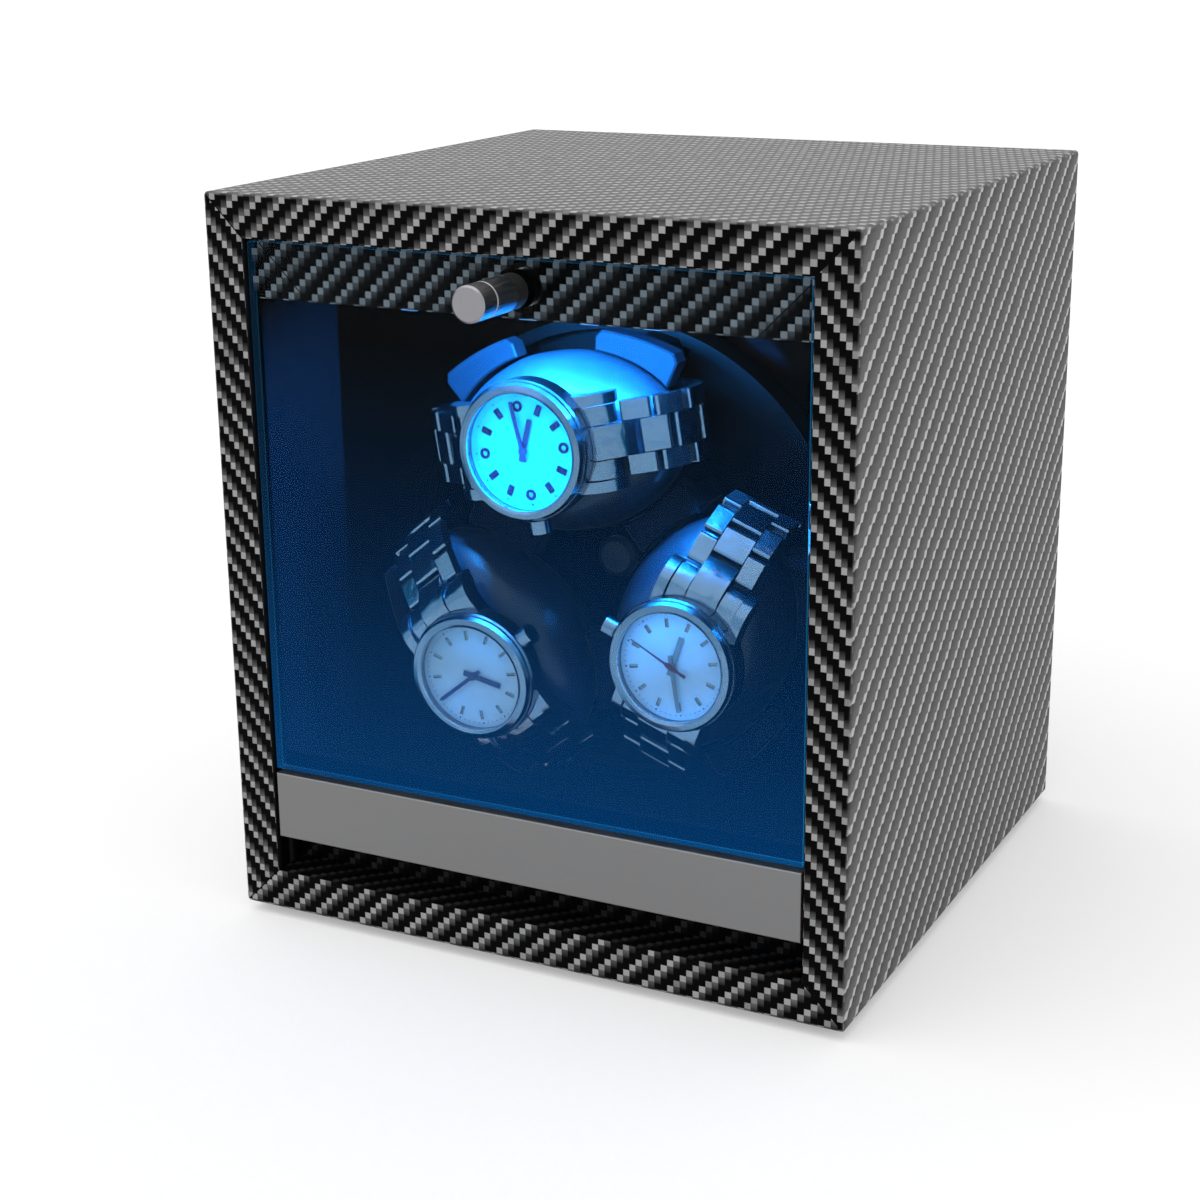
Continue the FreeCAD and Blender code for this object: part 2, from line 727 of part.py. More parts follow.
keep(group("shaft_bushes", [
    shaft_bush("front_bush", "Sizes.board_front"),
    shaft_bush("rear_bush", "Sizes.bracket_front")]), "shaft_bushes")
clip_ring = rod("clip_ring", "6.5", (behind(CLIP_FRONT + " + 0.1"), behind(CLIP_FRONT + " + 0.9")), z=AXIS)
clip_eye = rod(
    "clip_eye", "Sizes.shaft_radius - 0.58", (behind(CLIP_FRONT), behind(CLIP_FRONT + " + 1")), z=AXIS)
clip_gap = block(
    "clip_gap", ("-2.2", "2.2"), (behind(CLIP_FRONT), behind(CLIP_FRONT + " + 1")),
    (AXIS, AXIS + " + 8"))
keep(cut("shaft_clip", clip_ring, [clip_eye, clip_gap]), "shaft_clip")

# Reduction gears: involute flanks, cut as one tooth gap and repeated round the blank


def involute(angle):
    return math.tan(angle) - angle


def gap_points(teeth):
    """Outline of one tooth gap that opens upwards, as numbers in words."""
    module = size("gear_module")
    pitch = module * teeth / 2
    base = pitch * math.cos(math.radians(20))
    root = pitch - 1.25 * module
    tip = pitch + module

    def half_gap(radius):
        lean = math.acos(min(1, base / radius))
        tooth = math.pi / (2 * teeth) + involute(math.radians(20)) - involute(lean)
        return math.pi / teeth - tooth

    flank = [(radius, half_gap(max(radius, base)))
             for radius in (root, max(base, root + 0.3), pitch, (pitch + tip) / 2, tip)]
    flank.append((tip + 0.5, flank[-1][1]))
    right = [(radius * math.sin(angle), radius * math.cos(angle)) for radius, angle in flank]
    left = [(-x, y) for x, y in reversed(right)]
    return [("%.5f" % x, "%.5f" % y) for x, y in right + left]


def spur_gear(label, teeth_alias, front, back, bore):
    owner = body(label)
    teeth = int(size(teeth_alias))
    blank = at_depth(owner, back)
    hole(blank, "0", "0", "Sizes.gear_module * (Sizes.%s / 2 + 1)" % teeth_alias)
    hole(blank, "0", "0", bore)
    pad(owner, blank, "(%s) - (%s)" % (back, front))
    gap = at_depth(owner, front)
    outline(gap, gap_points(teeth))
    tooth_gap = pocket(owner, gap, "(%s) - (%s)" % (back, front))
    ring = owner.newObject("PartDesign::PolarPattern", label + "_teeth")
    ring.Originals = [tooth_gap]
    axis = [part for part in owner.Origin.OriginFeatures if part.Role == "Y_Axis"][0]
    ring.Axis = (axis, [""])
    ring.Angle = 360
    ring.Occurrences = teeth
    owner.Tip = ring
    return owner


GEAR_BACK = "(Sizes.gear_front + Sizes.gear_width)"
drive_gear = spur_gear("drive_gear", "gear_teeth", "Sizes.gear_front", GEAR_BACK, SHAFT_FIT)
gear_hub = at_depth(drive_gear, "Sizes.gear_front")
hole(gear_hub, "0", "0", "9")
hole(gear_hub, "0", "0", SHAFT_FIT)
pad(drive_gear, gear_hub, "3")
gear_windows = at_depth(drive_gear, "Sizes.gear_front")
for angle in range(0, 360, 60):
    x, y = polar("22", str(angle))
    hole(gear_windows, x, y, "7")
pocket(drive_gear, gear_windows, "Sizes.gear_width")
drive_gear.Placement = Placement(Vector(), Rotation(Vector(0, 1, 0), 2.5))
keep(locate(drive_gear, "0", "0", AXIS), "drive_gear")

CENTRES = "(Sizes.gear_module * (Sizes.gear_teeth + Sizes.pinion_teeth) / 2 + Sizes.centre_slack)"
PINION_Z = "(%s - %s)" % (AXIS, CENTRES)
pinion = spur_gear(
    "motor_pinion", "pinion_teeth", "Sizes.gear_front - 1", GEAR_BACK + " + 1", "1")
pinion_shaft = at_depth(pinion, "Sizes.bracket_front + 8")
hole(pinion_shaft, "0", "0", "2")
pad(pinion, pinion_shaft, "Sizes.bracket_front + 8 - (Sizes.gear_front - 1)")
keep(locate(pinion, "0", "0", PINION_Z), "motor_pinion")

# Drive bracket behind the gears, with its standoffs, screws, gearbox and motor

BRACKET_BACK = "(Sizes.bracket_front + Sizes.bracket_thick)"
POSTS = [(side, level) for side in ("-17", "17") for level in (AXIS + " + 46", PINION_Z + " - 24")]


def draw_bracket(profile):
    low = PINION_Z + " - 31"
    high = AXIS + " + 53"
    outline(profile, [
        ("-18", low, "6", 1), ("18", low), ("24", low + " + 6", "6", 1), ("24", high + " - 6"),
        ("18", high, "6", 1), ("-18", high), ("-24", high + " - 6", "6", 1), ("-24", low + " + 6")])
    hole(profile, "0", AXIS, "9")
    hole(profile, "0", PINION_Z, "4.6")
    for x, z in POSTS:
        hole(profile, x, z, "1.7")


keep(plate("drive_bracket", (behind("Sizes.bracket_front"), behind(BRACKET_BACK)), draw_bracket),
     "drive_bracket")
posts = []
post_screws = []
for x, z in POSTS:
    posts.append(turned("post", [
        ("4.5", behind(BOARD_BACK)),
        ("4.5", behind("Sizes.bracket_front")),
        ("1.52", behind("Sizes.bracket_front")),
        ("1.52", behind("Sizes.bracket_front - 10")),
        ("0", behind("Sizes.bracket_front - 10")),
        ("0", behind(BOARD_BACK))], x, z))
    post_screws.append(turned("post_screw", [
        ("0", behind("Sizes.bracket_front - 8")),
        ("1.5", behind("Sizes.bracket_front - 8")),
        ("1.5", behind(BRACKET_BACK)),
        ("3.2", behind(BRACKET_BACK)),
        ("3.2", behind(BRACKET_BACK + " + 1.2")),
        ("2.2", behind(BRACKET_BACK + " + 2.2")),
        ("0", behind(BRACKET_BACK + " + 2.2"))], x, z))
keep(group("bracket_standoffs", posts), "bracket_standoffs")
keep(group("bracket_screws", post_screws), "bracket_screws")
keep(turned("gearbox", [
    ("2 + Sizes.running_gap", behind("Sizes.bracket_front - 2")),
    ("4.5", behind("Sizes.bracket_front - 2")),
    ("4.5", behind(BRACKET_BACK)),
    ("14", behind(BRACKET_BACK)),
    ("14", behind(BRACKET_BACK + " + 19")),
    ("13", behind(BRACKET_BACK + " + 20")),
    ("0", behind(BRACKET_BACK + " + 20")),
    ("0", behind("Sizes.bracket_front + 9")),
    ("2 + Sizes.running_gap", behind("Sizes.bracket_front + 9")),
], z=PINION_Z), "gearbox")
can = turned("can", [
    ("0", behind(BRACKET_BACK + " + 20")),
    ("12", behind(BRACKET_BACK + " + 20")),
    ("12", behind(BRACKET_BACK + " + 45")),
    ("11", behind(BRACKET_BACK + " + 46")),
    ("3.5", behind(BRACKET_BACK + " + 46")),
    ("3.5", behind(BRACKET_BACK + " + 48")),
    ("0", behind(BRACKET_BACK + " + 48")),
], z=PINION_Z)
tabs = [block("tab", (side + " - 1.2", side + " + 1.2"),
              (behind(BRACKET_BACK + " + 45"), behind(BRACKET_BACK + " + 51")),
              (PINION_Z + " - 0.3", PINION_Z + " + 0.3")) for side in ("-7", "7")]
keep(join("motor_can", [can] + tabs), "motor_can")

# Cushions: crowned pillows with narrower ends, lofted through ovals of four arcs

CUSHION_SECTIONS = (
    (-1.0, 0.24, 0.34), (-0.87, 0.5, 0.6), (-0.58, 0.8, 0.86), (0.0, 1.0, 1.0),
    (0.58, 0.8, 0.86), (0.87, 0.5, 0.6), (1.0, 0.24, 0.34))


def oval_steps(half_width, half_depth, centre):
    """Four tangent arcs: two flat ones in front and behind, two tight ones at the sides."""
    tight = 0.62 * half_depth
    inset = half_width - tight
    rise = (inset ** 2 - (half_depth - tight) ** 2) / (2 * (half_depth - tight))
    flat = half_depth + rise
    length = math.hypot(inset, rise)
    x = flat * inset / length
    y = flat * rise / length - rise
    near = "%s - %.5f" % (centre, y)
    far = "%s + %.5f" % (centre, y)
    return [
        ("%.5f" % -x, near, "%.5f" % tight, 1), ("%.5f" % x, near, "%.5f" % flat, 1),
        ("%.5f" % x, far, "%.5f" % tight, 1), ("%.5f" % -x, far, "%.5f" % flat, 1)]


def cushion(label, third):
    owner = body(label)
    centre = behind("Sizes.cushion_front + Sizes.cushion_depth / 2")
    sections = []
    for along, wide, deep in CUSHION_SECTIONS:
        section = sketch(owner, "XY_Plane", "%s * Sizes.cushion_length / 2" % along)
        outline(section, oval_steps(
            wide * size("cushion_width") / 2, deep * size("cushion_depth") / 2, centre))
        sections.append(section)
    loft = owner.newObject("PartDesign::AdditiveLoft", label + "_loft")
    loft.Profile = sections[0]
    loft.Sections = sections[1:]
    return keep(ride(owner, "Sizes.holder_orbit", third), label)


for name, third in THIRDS:
    cushion(name + "_cushion", third)

# Watches on the cushions: twelve o'clock along the strap, crown towards the carousel centre

LINK_THICK = 3
LINK_PITCH = 9
LINK_GAP = 0.45
LINK_ROUND = 0.9
LOOP_HALF_WIDTH = 40
LOOP_HALF_DEPTH = 20.5
LOOP_CENTRE = size("watch_front") + 30
FIRST_LINK = 30
CLASP_START = 77
FLAT_RADIUS = LOOP_HALF_WIDTH ** 2 / LOOP_HALF_DEPTH
FLAT_CENTRE = number(behind("%.3f" % (LOOP_CENTRE - LOOP_HALF_DEPTH + FLAT_RADIUS)))


def watch_level(depth):
    return behind("Sizes.watch_front + %s" % depth)


def strap(item, orbit, third, slip):
    """Put a watch head on its cushion, slipped by this angle round the flat front of its loop."""
    turn = "(Sizes.rest_turn + %d)" % third
    aside = "(%.3f * sin(%s))" % (FLAT_CENTRE, slip)
    back = "%.3f * (1 - cos(%s))" % (FLAT_CENTRE, slip)
    lean = Rotation(Vector(0, 0, 1), slip)
    item.Placement = Placement(
        Vector(), Rotation(Vector(0, 1, 0), -(size("rest_turn") + third)).multiply(lean))
    return locate(
        item, "%s * cos(%s) - (%s) * sin(%s)" % (aside, turn, orbit, turn), back,
        "Sizes.axis_height + (%s) * cos(%s) + %s * sin(%s)" % (orbit, turn, aside, turn))


def loop_point(angle):
    """Point of the bracelet's centre line, from the front at zero round to the back."""
    return LOOP_HALF_WIDTH * math.sin(angle), LOOP_CENTRE - LOOP_HALF_DEPTH * math.cos(angle)


def loop_angle(distance):
    """Angle reached after walking this far along the bracelet from its front."""
    angle = 0
    walked = 0
    step = 0.002
    while walked < distance:
        here = loop_point(angle)
        there = loop_point(angle + step)
        walked += math.hypot(there[0] - here[0], there[1] - here[1])
        angle += step
    return angle


def link_length(angle):
    """Longest link whose inner corners stay clear of its neighbours on this bend."""
    wide = LOOP_HALF_WIDTH * math.cos(angle)
    deep = LOOP_HALF_DEPTH * math.sin(angle)
    bend_radius = math.hypot(wide, deep) ** 3 / (LOOP_HALF_WIDTH * LOOP_HALF_DEPTH)
    inner_radius = bend_radius - LINK_THICK / 2
    return 2 * inner_radius * math.tan(LINK_PITCH / bend_radius / 2) - LINK_GAP


def link(width, across, distance, mirror):
    """One bracelet link laid along the loop; across is where its middle lies on the width."""
    angle = loop_angle(distance)
    x, y = loop_point(angle)
    length = link_length(angle)
    slope = math.degrees(math.atan2(LOOP_HALF_DEPTH * math.sin(angle), LOOP_HALF_WIDTH * math.cos(angle)))
    blank = doc.addObject("Part::Box", "link_blank")
    blank.Length = length
    blank.Width = LINK_THICK
    blank.Height = width
    middle = Vector(mirror * x, number(behind(str(y))), across)
    turn = Rotation(Vector(0, 0, 1), mirror * slope)
    corner = turn.multVec(Vector(-length / 2, -LINK_THICK / 2, -width / 2))
    blank.Placement = Placement(middle + corner, turn)
    item = doc.addObject("Part::Fillet", "link")
    item.Base = blank
    item.Edges = [(edge, LINK_ROUND, LINK_ROUND) for edge in (1, 5)]
    return item


def end_link(label, steps, width, across, radius, mirror, slip):
    """Curved piece between the lugs, hollowed to the round of the case."""
    owner = body(label + "_blank")
    profile = sketch(owner, "XY_Plane", "%.3f" % (across - width / 2))
    outline(profile, [
        ("%g" % (mirror * step[0]), watch_level(step[1])) + (("%g" % step[2], mirror) if step[2:] else ())
        for step in steps])
    pad(owner, profile, "%.3f" % width)
    case_round = rod(
        label + "_round", "(%s + 0.15)" % radius, (watch_level("0"), watch_level("20")))
    item = cut(label, owner, [case_round])
    lean = math.radians(slip)
    shift = Vector(math.sin(lean), 1 - math.cos(lean), 0) * FLAT_CENTRE
    item.Placement = Placement(shift, Rotation(Vector(0, 0, 1), slip))
    return item


EDGE_END = ((14, 6.2), (20, 6.6), (25, 11.2, 9.5), (24.4, 13.8), (21, 12.4), (14, 11.8))
MIDDLE_END = ((14, 6), (21, 6.6), (29, 14.2, 17), (27.9, 16.8), (24.4, 14.4), (21, 12.4), (14, 11.8))


def bracelet(label, radius, slip):
    """Three-row bracelet: end links at the case, rows of links, and a folding clasp behind."""
    width = size("bracelet_width")
    edge_width = 5.2
    middle_width = width - 2 * edge_width - 0.6
    edge_place = (width - edge_width) / 2
    slide = math.radians(slip) * FLAT_RADIUS
    pieces = []
    reach = {}
    for mirror in (1, -1):
        first = FIRST_LINK + mirror * slide
        rows = int((CLASP_START - first) / LINK_PITCH)
        for side in (1, -1):
            place = side * edge_place
            pieces.append(end_link(
                "edge_end", EDGE_END, edge_width - 0.2, place, radius, mirror, slip))
            for row in range(rows):
                pieces.append(link(edge_width, place, first + row * LINK_PITCH, mirror))
        pieces.append(end_link("middle_end", MIDDLE_END, middle_width, 0, radius, mirror, slip))
        for row in range(rows):
            pieces.append(link(middle_width, 0, first + (row + 0.5) * LINK_PITCH, mirror))
        last = loop_angle(first + rows * LINK_PITCH + 0.7)
        reach[mirror] = loop_point(last)[0]
    clasp_level = LOOP_CENTRE + LOOP_HALF_DEPTH
    pieces.append(block(
        "clasp", ("%.3f" % -reach[-1], "%.3f" % reach[1]),
        (behind("%.3f" % (clasp_level - 2)), behind("%.3f" % (clasp_level + 1.6))),
        ("-(Sizes.bracelet_width / 2 - 1)", "Sizes.bracelet_width / 2 - 1")))
    return group(label, pieces)


def watch_case(label, radius):
    """Case with four lugs, then a bezel ring and a crown as pieces of their own."""
    owner = turned(label + "_middle", [
        ("0", watch_level("5.2")),
        (radius + " - 3.1", watch_level("5.2")),
        (radius + " - 3.1", watch_level("3")),
        (radius + " - 0.4", watch_level("3")),
        (radius, watch_level("3.6")),
        (radius, watch_level("9")),
        (radius + " - 2.5", watch_level("11.6")),
        (radius + " - 4", watch_level("12")),
        ("0", watch_level("12")),
    ])
    for low in ("Sizes.bracelet_width / 2 + 0.2", "-(Sizes.bracelet_width / 2 + 3.2)"):
        lugs = sketch(owner, "XY_Plane", low)
        for sign in ("", "-"):
            turn = -1 if sign else 1
            outline(lugs, [(sign + "(" + step[0] + ")", watch_level(step[1])) + step[2:] for step in (
                ("10", "5.6"), (radius + " - 1", "5.2"), ("25.6", "12", "9.5", turn),
                ("25", "14.4"), ("22.6", "13.6"), (radius + " - 1", "11.2"), ("10", "11.2"))])
        pad(owner, lugs, "3")
    bezel = turned(label + "_bezel", [
        (radius + " - 3.3", watch_level("0.9")),
        (radius + " - 2.6", watch_level("0.5")),
        (radius + " - 1.2", watch_level("1.1")),
        (radius + " - 0.5", watch_level("2.2")),
        (radius + " - 0.5", watch_level("3")),
        (radius + " - 3.3", watch_level("3")),
    ])
    crown = doc.addObject("Part::Cylinder", label + "_crown")
    bind(crown, "Radius", "2.9")
    bind(crown, "Height", "3.6")
    locate(crown, "0", watch_level("6.3"), "-(%s + 3.8)" % radius)
    return group(label, [owner, bezel, crown])


def watch_crystal(label, radius):
    """Lightly domed disc inside the bezel."""
    return turned(label, [
        ("0", watch_level("0")),
        (radius + " - 3.36", watch_level("0.7"), "180", 1),
        (radius + " - 3.36", watch_level("2.2")),
        ("0", watch_level("2.2")),
    ])


def hand(length, width, level, clock_angle):
    """A flat hand that points at this angle from twelve, turning clockwise."""
    item = doc.addObject("Part::Box", "hand")
    item.Length = length + 3
    item.Height = width
    item.Width = 0.3
    turn = Rotation(Vector(0, 1, 0), clock_angle)
    corner = turn.multVec(Vector(-3, 0, -width / 2))
    item.Placement = Placement(corner + Vector(0, number(watch_level(level)), 0), turn)
    return item


def watch_dial(label, radius, hour, minute):
    """Dial disc with its centre post and two hands."""
    disc = turned(label + "_disc", [
        ("0", watch_level("4.6")),
        (radius + " - 3.2", watch_level("4.6")),
        (radius + " - 3.2", watch_level("5.2")),
        ("0", watch_level("5.2")),
    ])
    reach = number(radius) - 3.3
    hour_hand = hand(reach * 0.55, 1.5, "3.9", 30 * (hour + minute / 60))
    minute_hand = hand(reach * 0.84, 1.1, "3.3", 6 * minute)
    post = rod(label + "_post", "0.5", (watch_level("3"), watch_level("4.8")))
    eye = rod(label + "_eye", "1.1", (watch_level("3.2"), watch_level("4.3")))
    return join(label, [disc, hour_hand, minute_hand, post, eye])


# Radius, hour and minute shown, orbit on the carousel, and slip round the cushion
WATCHES = {
    "top": ("19.5", 9, 44, "Sizes.watch_orbit", 0),
    "left": ("18.9", 4, 45, "Sizes.watch_orbit - 5", -3.8),
    "right": ("18.7", 5, 55, "Sizes.watch_orbit", 0),
}
for name, third in THIRDS:
    radius, hour, minute, orbit, slip = WATCHES[name]
    for label, piece in (
            ("case", watch_case(name + "_watch_case", radius)),
            ("crystal", watch_crystal(name + "_watch_crystal", radius)),
            ("dial", watch_dial(name + "_watch_dial", radius, hour, minute))):
        keep(strap(piece, orbit, third, slip), name + "_watch_" + label)
    keep(ride(bracelet(name + "_bracelet", radius, slip), orbit, third), name + "_bracelet")

# Back cover in its recess, with vents, corner blocks and screws

COVER_BACK = "(Sizes.case_depth - Sizes.back_recess)"
COVER_FRONT = "(%s - Sizes.back_thick)" % COVER_BACK
LEVEL = "Sizes.control_height"
INLET_X = "(-45)"
SWITCH_X = "0"
SELECTOR_X = "45"
FIXINGS = [(side + "(%s - 7)" % INSIDE, level) for side in ("-", "")
           for level in (FLOOR + " + 7", CEILING + " - 7")]


def draw_cover(profile):
    rectangle(profile, ("-(%s - 0.2)" % INSIDE, INSIDE + " - 0.2"), (FLOOR + " + 0.2", CEILING + " - 0.2"))
    hole(profile, INLET_X, LEVEL, "5.6")
    hole(profile, SELECTOR_X, LEVEL, "3.6")
    rectangle(profile, (SWITCH_X + " - 6.5", SWITCH_X + " + 6.5"), (LEVEL + " - 9.5", LEVEL + " + 9.5"))
    for x, z in FIXINGS:
        hole(profile, x, z, "1.7")
    for row in range(6):
        middle = CEILING + " - %d" % (26 + 8 * row)
        for low, high in (("-46", "-8"), ("8", "46")):
            outline(profile, [
                (low, middle + " - 1.6", "1.62", 1), (high, middle + " - 1.6"),
                (high, middle + " + 1.6", "1.62", 1), (low, middle + " + 1.6")])


keep(plate("back_cover", (behind(COVER_FRONT), behind(COVER_BACK)), draw_cover), "back_cover")

blocks = []
cover_screws = []
for x, z in FIXINGS:
    side = "" if x.startswith("(") else "-"
    edge = INSIDE if side == "" else "-" + INSIDE
    near = "%s - 14" % INSIDE if side == "" else "-%s + 14" % INSIDE
    wide = (near, edge) if side == "" else (edge, near)
    tall = (FLOOR, FLOOR + " + 14") if z.startswith(FLOOR) else (CEILING + " - 14", CEILING)
    corner = block("corner", wide, (behind(COVER_FRONT + " - 22"), behind(COVER_FRONT)), tall)
    pilot = rod("pilot", "1.52", (behind(COVER_FRONT + " - 14"), behind(COVER_FRONT + " + 1")), x, z)
    blocks.append(cut("corner_block", corner, [pilot]))
    screw = turned("cover_screw_blank", [
        ("0", behind(COVER_FRONT + " - 12")),
        ("1.5", behind(COVER_FRONT + " - 10")),
        ("1.5", behind(COVER_BACK)),
        ("3.4", behind(COVER_BACK)),
        ("3.4", behind(COVER_BACK + " + 1")),
        ("2", behind(COVER_BACK + " + 2.2")),
        ("0", behind(COVER_BACK + " + 2.2"))], x, z)
    slots = []
    for half_x, half_z in (("1.9", "0.4"), ("0.4", "1.9")):
        slots.append(block(
            "slot", (x + " - " + half_x, x + " + " + half_x),
            (behind(COVER_BACK + " + 1.2"), behind(COVER_BACK + " + 3")),
            (z + " - " + half_z, z + " + " + half_z)))
    cover_screws.append(cut("cover_screw", screw, slots))
keep(group("corner_blocks", blocks), "corner_blocks")
keep(group("cover_screws", cover_screws), "cover_screws")

# Control board on standoffs inside the cover

BOARD_SPOTS = [(x, AXIS + level) for x in ("-32", "32") for level in (" - 18", " + 28")]


def draw_circuit(profile):
    rectangle(profile, ("-36", "36"), (AXIS + " - 22", AXIS + " + 32"))


CIRCUIT_BACK = "(%s - 10)" % COVER_FRONT
CIRCUIT_FRONT = "(%s - 11.6)" % COVER_FRONT
keep(plate("control_board", (behind(CIRCUIT_FRONT), behind(CIRCUIT_BACK)), draw_circuit), "control_board")
keep(group("board_standoffs", [
    rod("board_post", "2.8", (behind(CIRCUIT_BACK), behind(COVER_FRONT)), x, z)
    for x, z in BOARD_SPOTS]), "board_standoffs")


def on_board(label, x, z, height):
    return block(label, x, (behind("%s - %s" % (CIRCUIT_FRONT, height)), behind(CIRCUIT_FRONT)),
                 tuple("%s + %s" % (AXIS, level) for level in z))


keep(group("board_components", [
    on_board("controller_chip", ("-8", "8"), ("(-4)", "12"), "1.8"),
    on_board("driver_chip", ("14", "24"), ("(-8)", "(-2)"), "1.6"),
    on_board("motor_socket", ("-26", "-16"), ("(-16)", "(-10)"), "7"),
    on_board("light_socket", ("8", "18"), ("22", "28"), "7"),
    on_board("inlet_socket", ("-26", "-16"), ("20", "26"), "7"),
    rod("capacitor", "4",
        (behind(CIRCUIT_FRONT + " - 11"), behind(CIRCUIT_FRONT)), "-22", AXIS + " + 4"),
    rod("small_capacitor", "2.5",
        (behind(CIRCUIT_FRONT + " - 7"), behind(CIRCUIT_FRONT)), "22", AXIS + " + 8"),
]), "board_components")

# Power inlet, rocker switch and mode selector on the back cover

keep(turned("power_inlet", [
    ("0", behind(COVER_FRONT + " - 10")),
    ("5.5", behind(COVER_FRONT + " - 10")),
    ("5.5", behind(COVER_BACK)),
    ("7", behind(COVER_BACK)),
    ("7", behind(COVER_BACK + " + 1.6")),
    ("6", behind(COVER_BACK + " + 2.4")),
    ("3", behind(COVER_BACK + " + 2.4")),
    ("3", behind(COVER_FRONT + " - 5")),
    ("1", behind(COVER_FRONT + " - 5")),
    ("1", behind(COVER_BACK + " + 0.6")),
    ("0.6", behind(COVER_BACK + " + 1.2")),
    ("0", behind(COVER_BACK + " + 1.2")),
], INLET_X, LEVEL), "power_inlet")

ROCKER_Y = behind(COVER_BACK + " - 1.5")
switch_flange = block(
    "switch_flange", (SWITCH_X + " - 7.5", SWITCH_X + " + 7.5"),
    (behind(COVER_BACK), behind(COVER_BACK + " + 1.8")), (LEVEL + " - 10.5", LEVEL + " + 10.5"))
switch_box = block(
    "switch_box", (SWITCH_X + " - 6.4", SWITCH_X + " + 6.4"),
    (behind(COVER_FRONT + " - 11"), behind(COVER_BACK)), (LEVEL + " - 9.4", LEVEL + " + 9.4"))
switch_room = block(
    "switch_room", (SWITCH_X + " - 5", SWITCH_X + " + 5"),
    (behind(COVER_FRONT + " - 5"), behind(COVER_BACK + " + 3")), (LEVEL + " - 7.6", LEVEL + " + 7.6"))
switch_axle = cross_rod(
    "switch_axle", "0.9 + Sizes.running_gap", (SWITCH_X + " - 6", SWITCH_X + " + 6"), ROCKER_Y, LEVEL)
keep(cut("rocker_housing", join("rocker_housing_blank", [switch_flange, switch_box]),
         [switch_room, switch_axle]), "rocker_housing")

rocker = body("rocker")
rocker_side = sketch(rocker, "YZ_Plane", "-4.7")
outline(rocker_side, [
    ("-3", "-6.4"), ("-3", "6.4"), ("5.4", "6.4"), ("3.9", "0", "14", -1), ("5.4", "-6.4", "14", -1)])
pad(rocker, rocker_side, "9.4")
rocker_pivot = sketch(rocker, "YZ_Plane", "-5.8")
hole(rocker_pivot, "0", "0", "0.9")
pad(rocker, rocker_pivot, "11.6")
rocker.Placement = Placement(Vector(), Rotation(Vector(1, 0, 0), -8))
keep(locate(rocker, SWITCH_X, ROCKER_Y, LEVEL), "rocker")

selector_can = block(
    "selector_can", (SELECTOR_X + " - 8", SELECTOR_X + " + 8"),
    (behind(COVER_FRONT + " - 9"), behind(COVER_FRONT)), (LEVEL + " - 8", LEVEL + " + 8"))
selector_neck = rod(
    "selector_neck", "3.5", (behind(COVER_FRONT), behind(COVER_BACK + " + 2.6")), SELECTOR_X, LEVEL)
selector_nut = doc.addObject("Part::Prism", "selector_nut")
selector_nut.Polygon = 6
bind(selector_nut, "Circumradius", "5.6")
bind(selector_nut, "Height", "1.6")
selector_nut.Placement = Placement(Vector(), Rotation(Vector(1, 0, 0), -90))
locate(selector_nut, SELECTOR_X, behind(COVER_BACK), LEVEL)
selector_bore = rod(
    "selector_bore", "2.2 + Sizes.running_gap", (behind(COVER_FRONT + " - 6"), behind(COVER_BACK + " + 4")),
    SELECTOR_X, LEVEL)
keep(cut("selector_body", join("selector_blank", [selector_can, selector_neck, selector_nut]),
         [selector_bore]), "selector_body")

selector_cap = turned("selector_cap", [
    ("0", behind(COVER_FRONT + " - 5.5")),
    ("2.2", behind(COVER_FRONT + " - 5.5")),
    ("2.2", behind(COVER_BACK + " + 3")),
    ("8", behind(COVER_BACK + " + 3")),
    ("7.4", behind(COVER_BACK + " + 10.2")),
    ("6.6", behind(COVER_BACK + " + 11")),
    ("0", behind(COVER_BACK + " + 11"))], SELECTOR_X, LEVEL)
cap_notches = []
for step in range(12):
    x = "%s + 8.5 * sin(%d)" % (SELECTOR_X, 15 + step * 30)
    z = "%s + 8.5 * cos(%d)" % (LEVEL, 15 + step * 30)
    cap_notches.append(rod(
        "cap_notch", "1.2", (behind(COVER_BACK + " + 2"), behind(COVER_BACK + " + 12")), x, z))
cap_notches.append(block(
    "cap_mark", (SELECTOR_X + " - 0.5", SELECTOR_X + " + 0.5"),
    (behind(COVER_BACK + " + 10.4"), behind(COVER_BACK + " + 12")), (LEVEL + " + 1.5", LEVEL + " + 6")))
keep(cut("selector_knob", selector_cap, cap_notches), "selector_knob")

# Test every object, then write one file for each sub-part

doc.recompute()
for item in doc.Objects:
    if "Invalid" in item.State or "Error" in item.State:
        raise RuntimeError("%s did not build: %s" % (item.Name, item.State))

os.makedirs("parts", exist_ok=True)
for item in nodes:
    shape = item.Shape
    if shape.isNull() or not shape.isValid() or shape.Volume <= 0:
        raise RuntimeError("%s has no sound solid" % item.Label)
    shape.exportStep("parts/%s.step" % item.Label)
print("%d sub-parts written" % len(nodes))
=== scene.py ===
import json
import math

import bmesh
import bpy
from bpy.props import FloatProperty, FloatVectorProperty, PointerProperty
from mathutils import Matrix, Vector

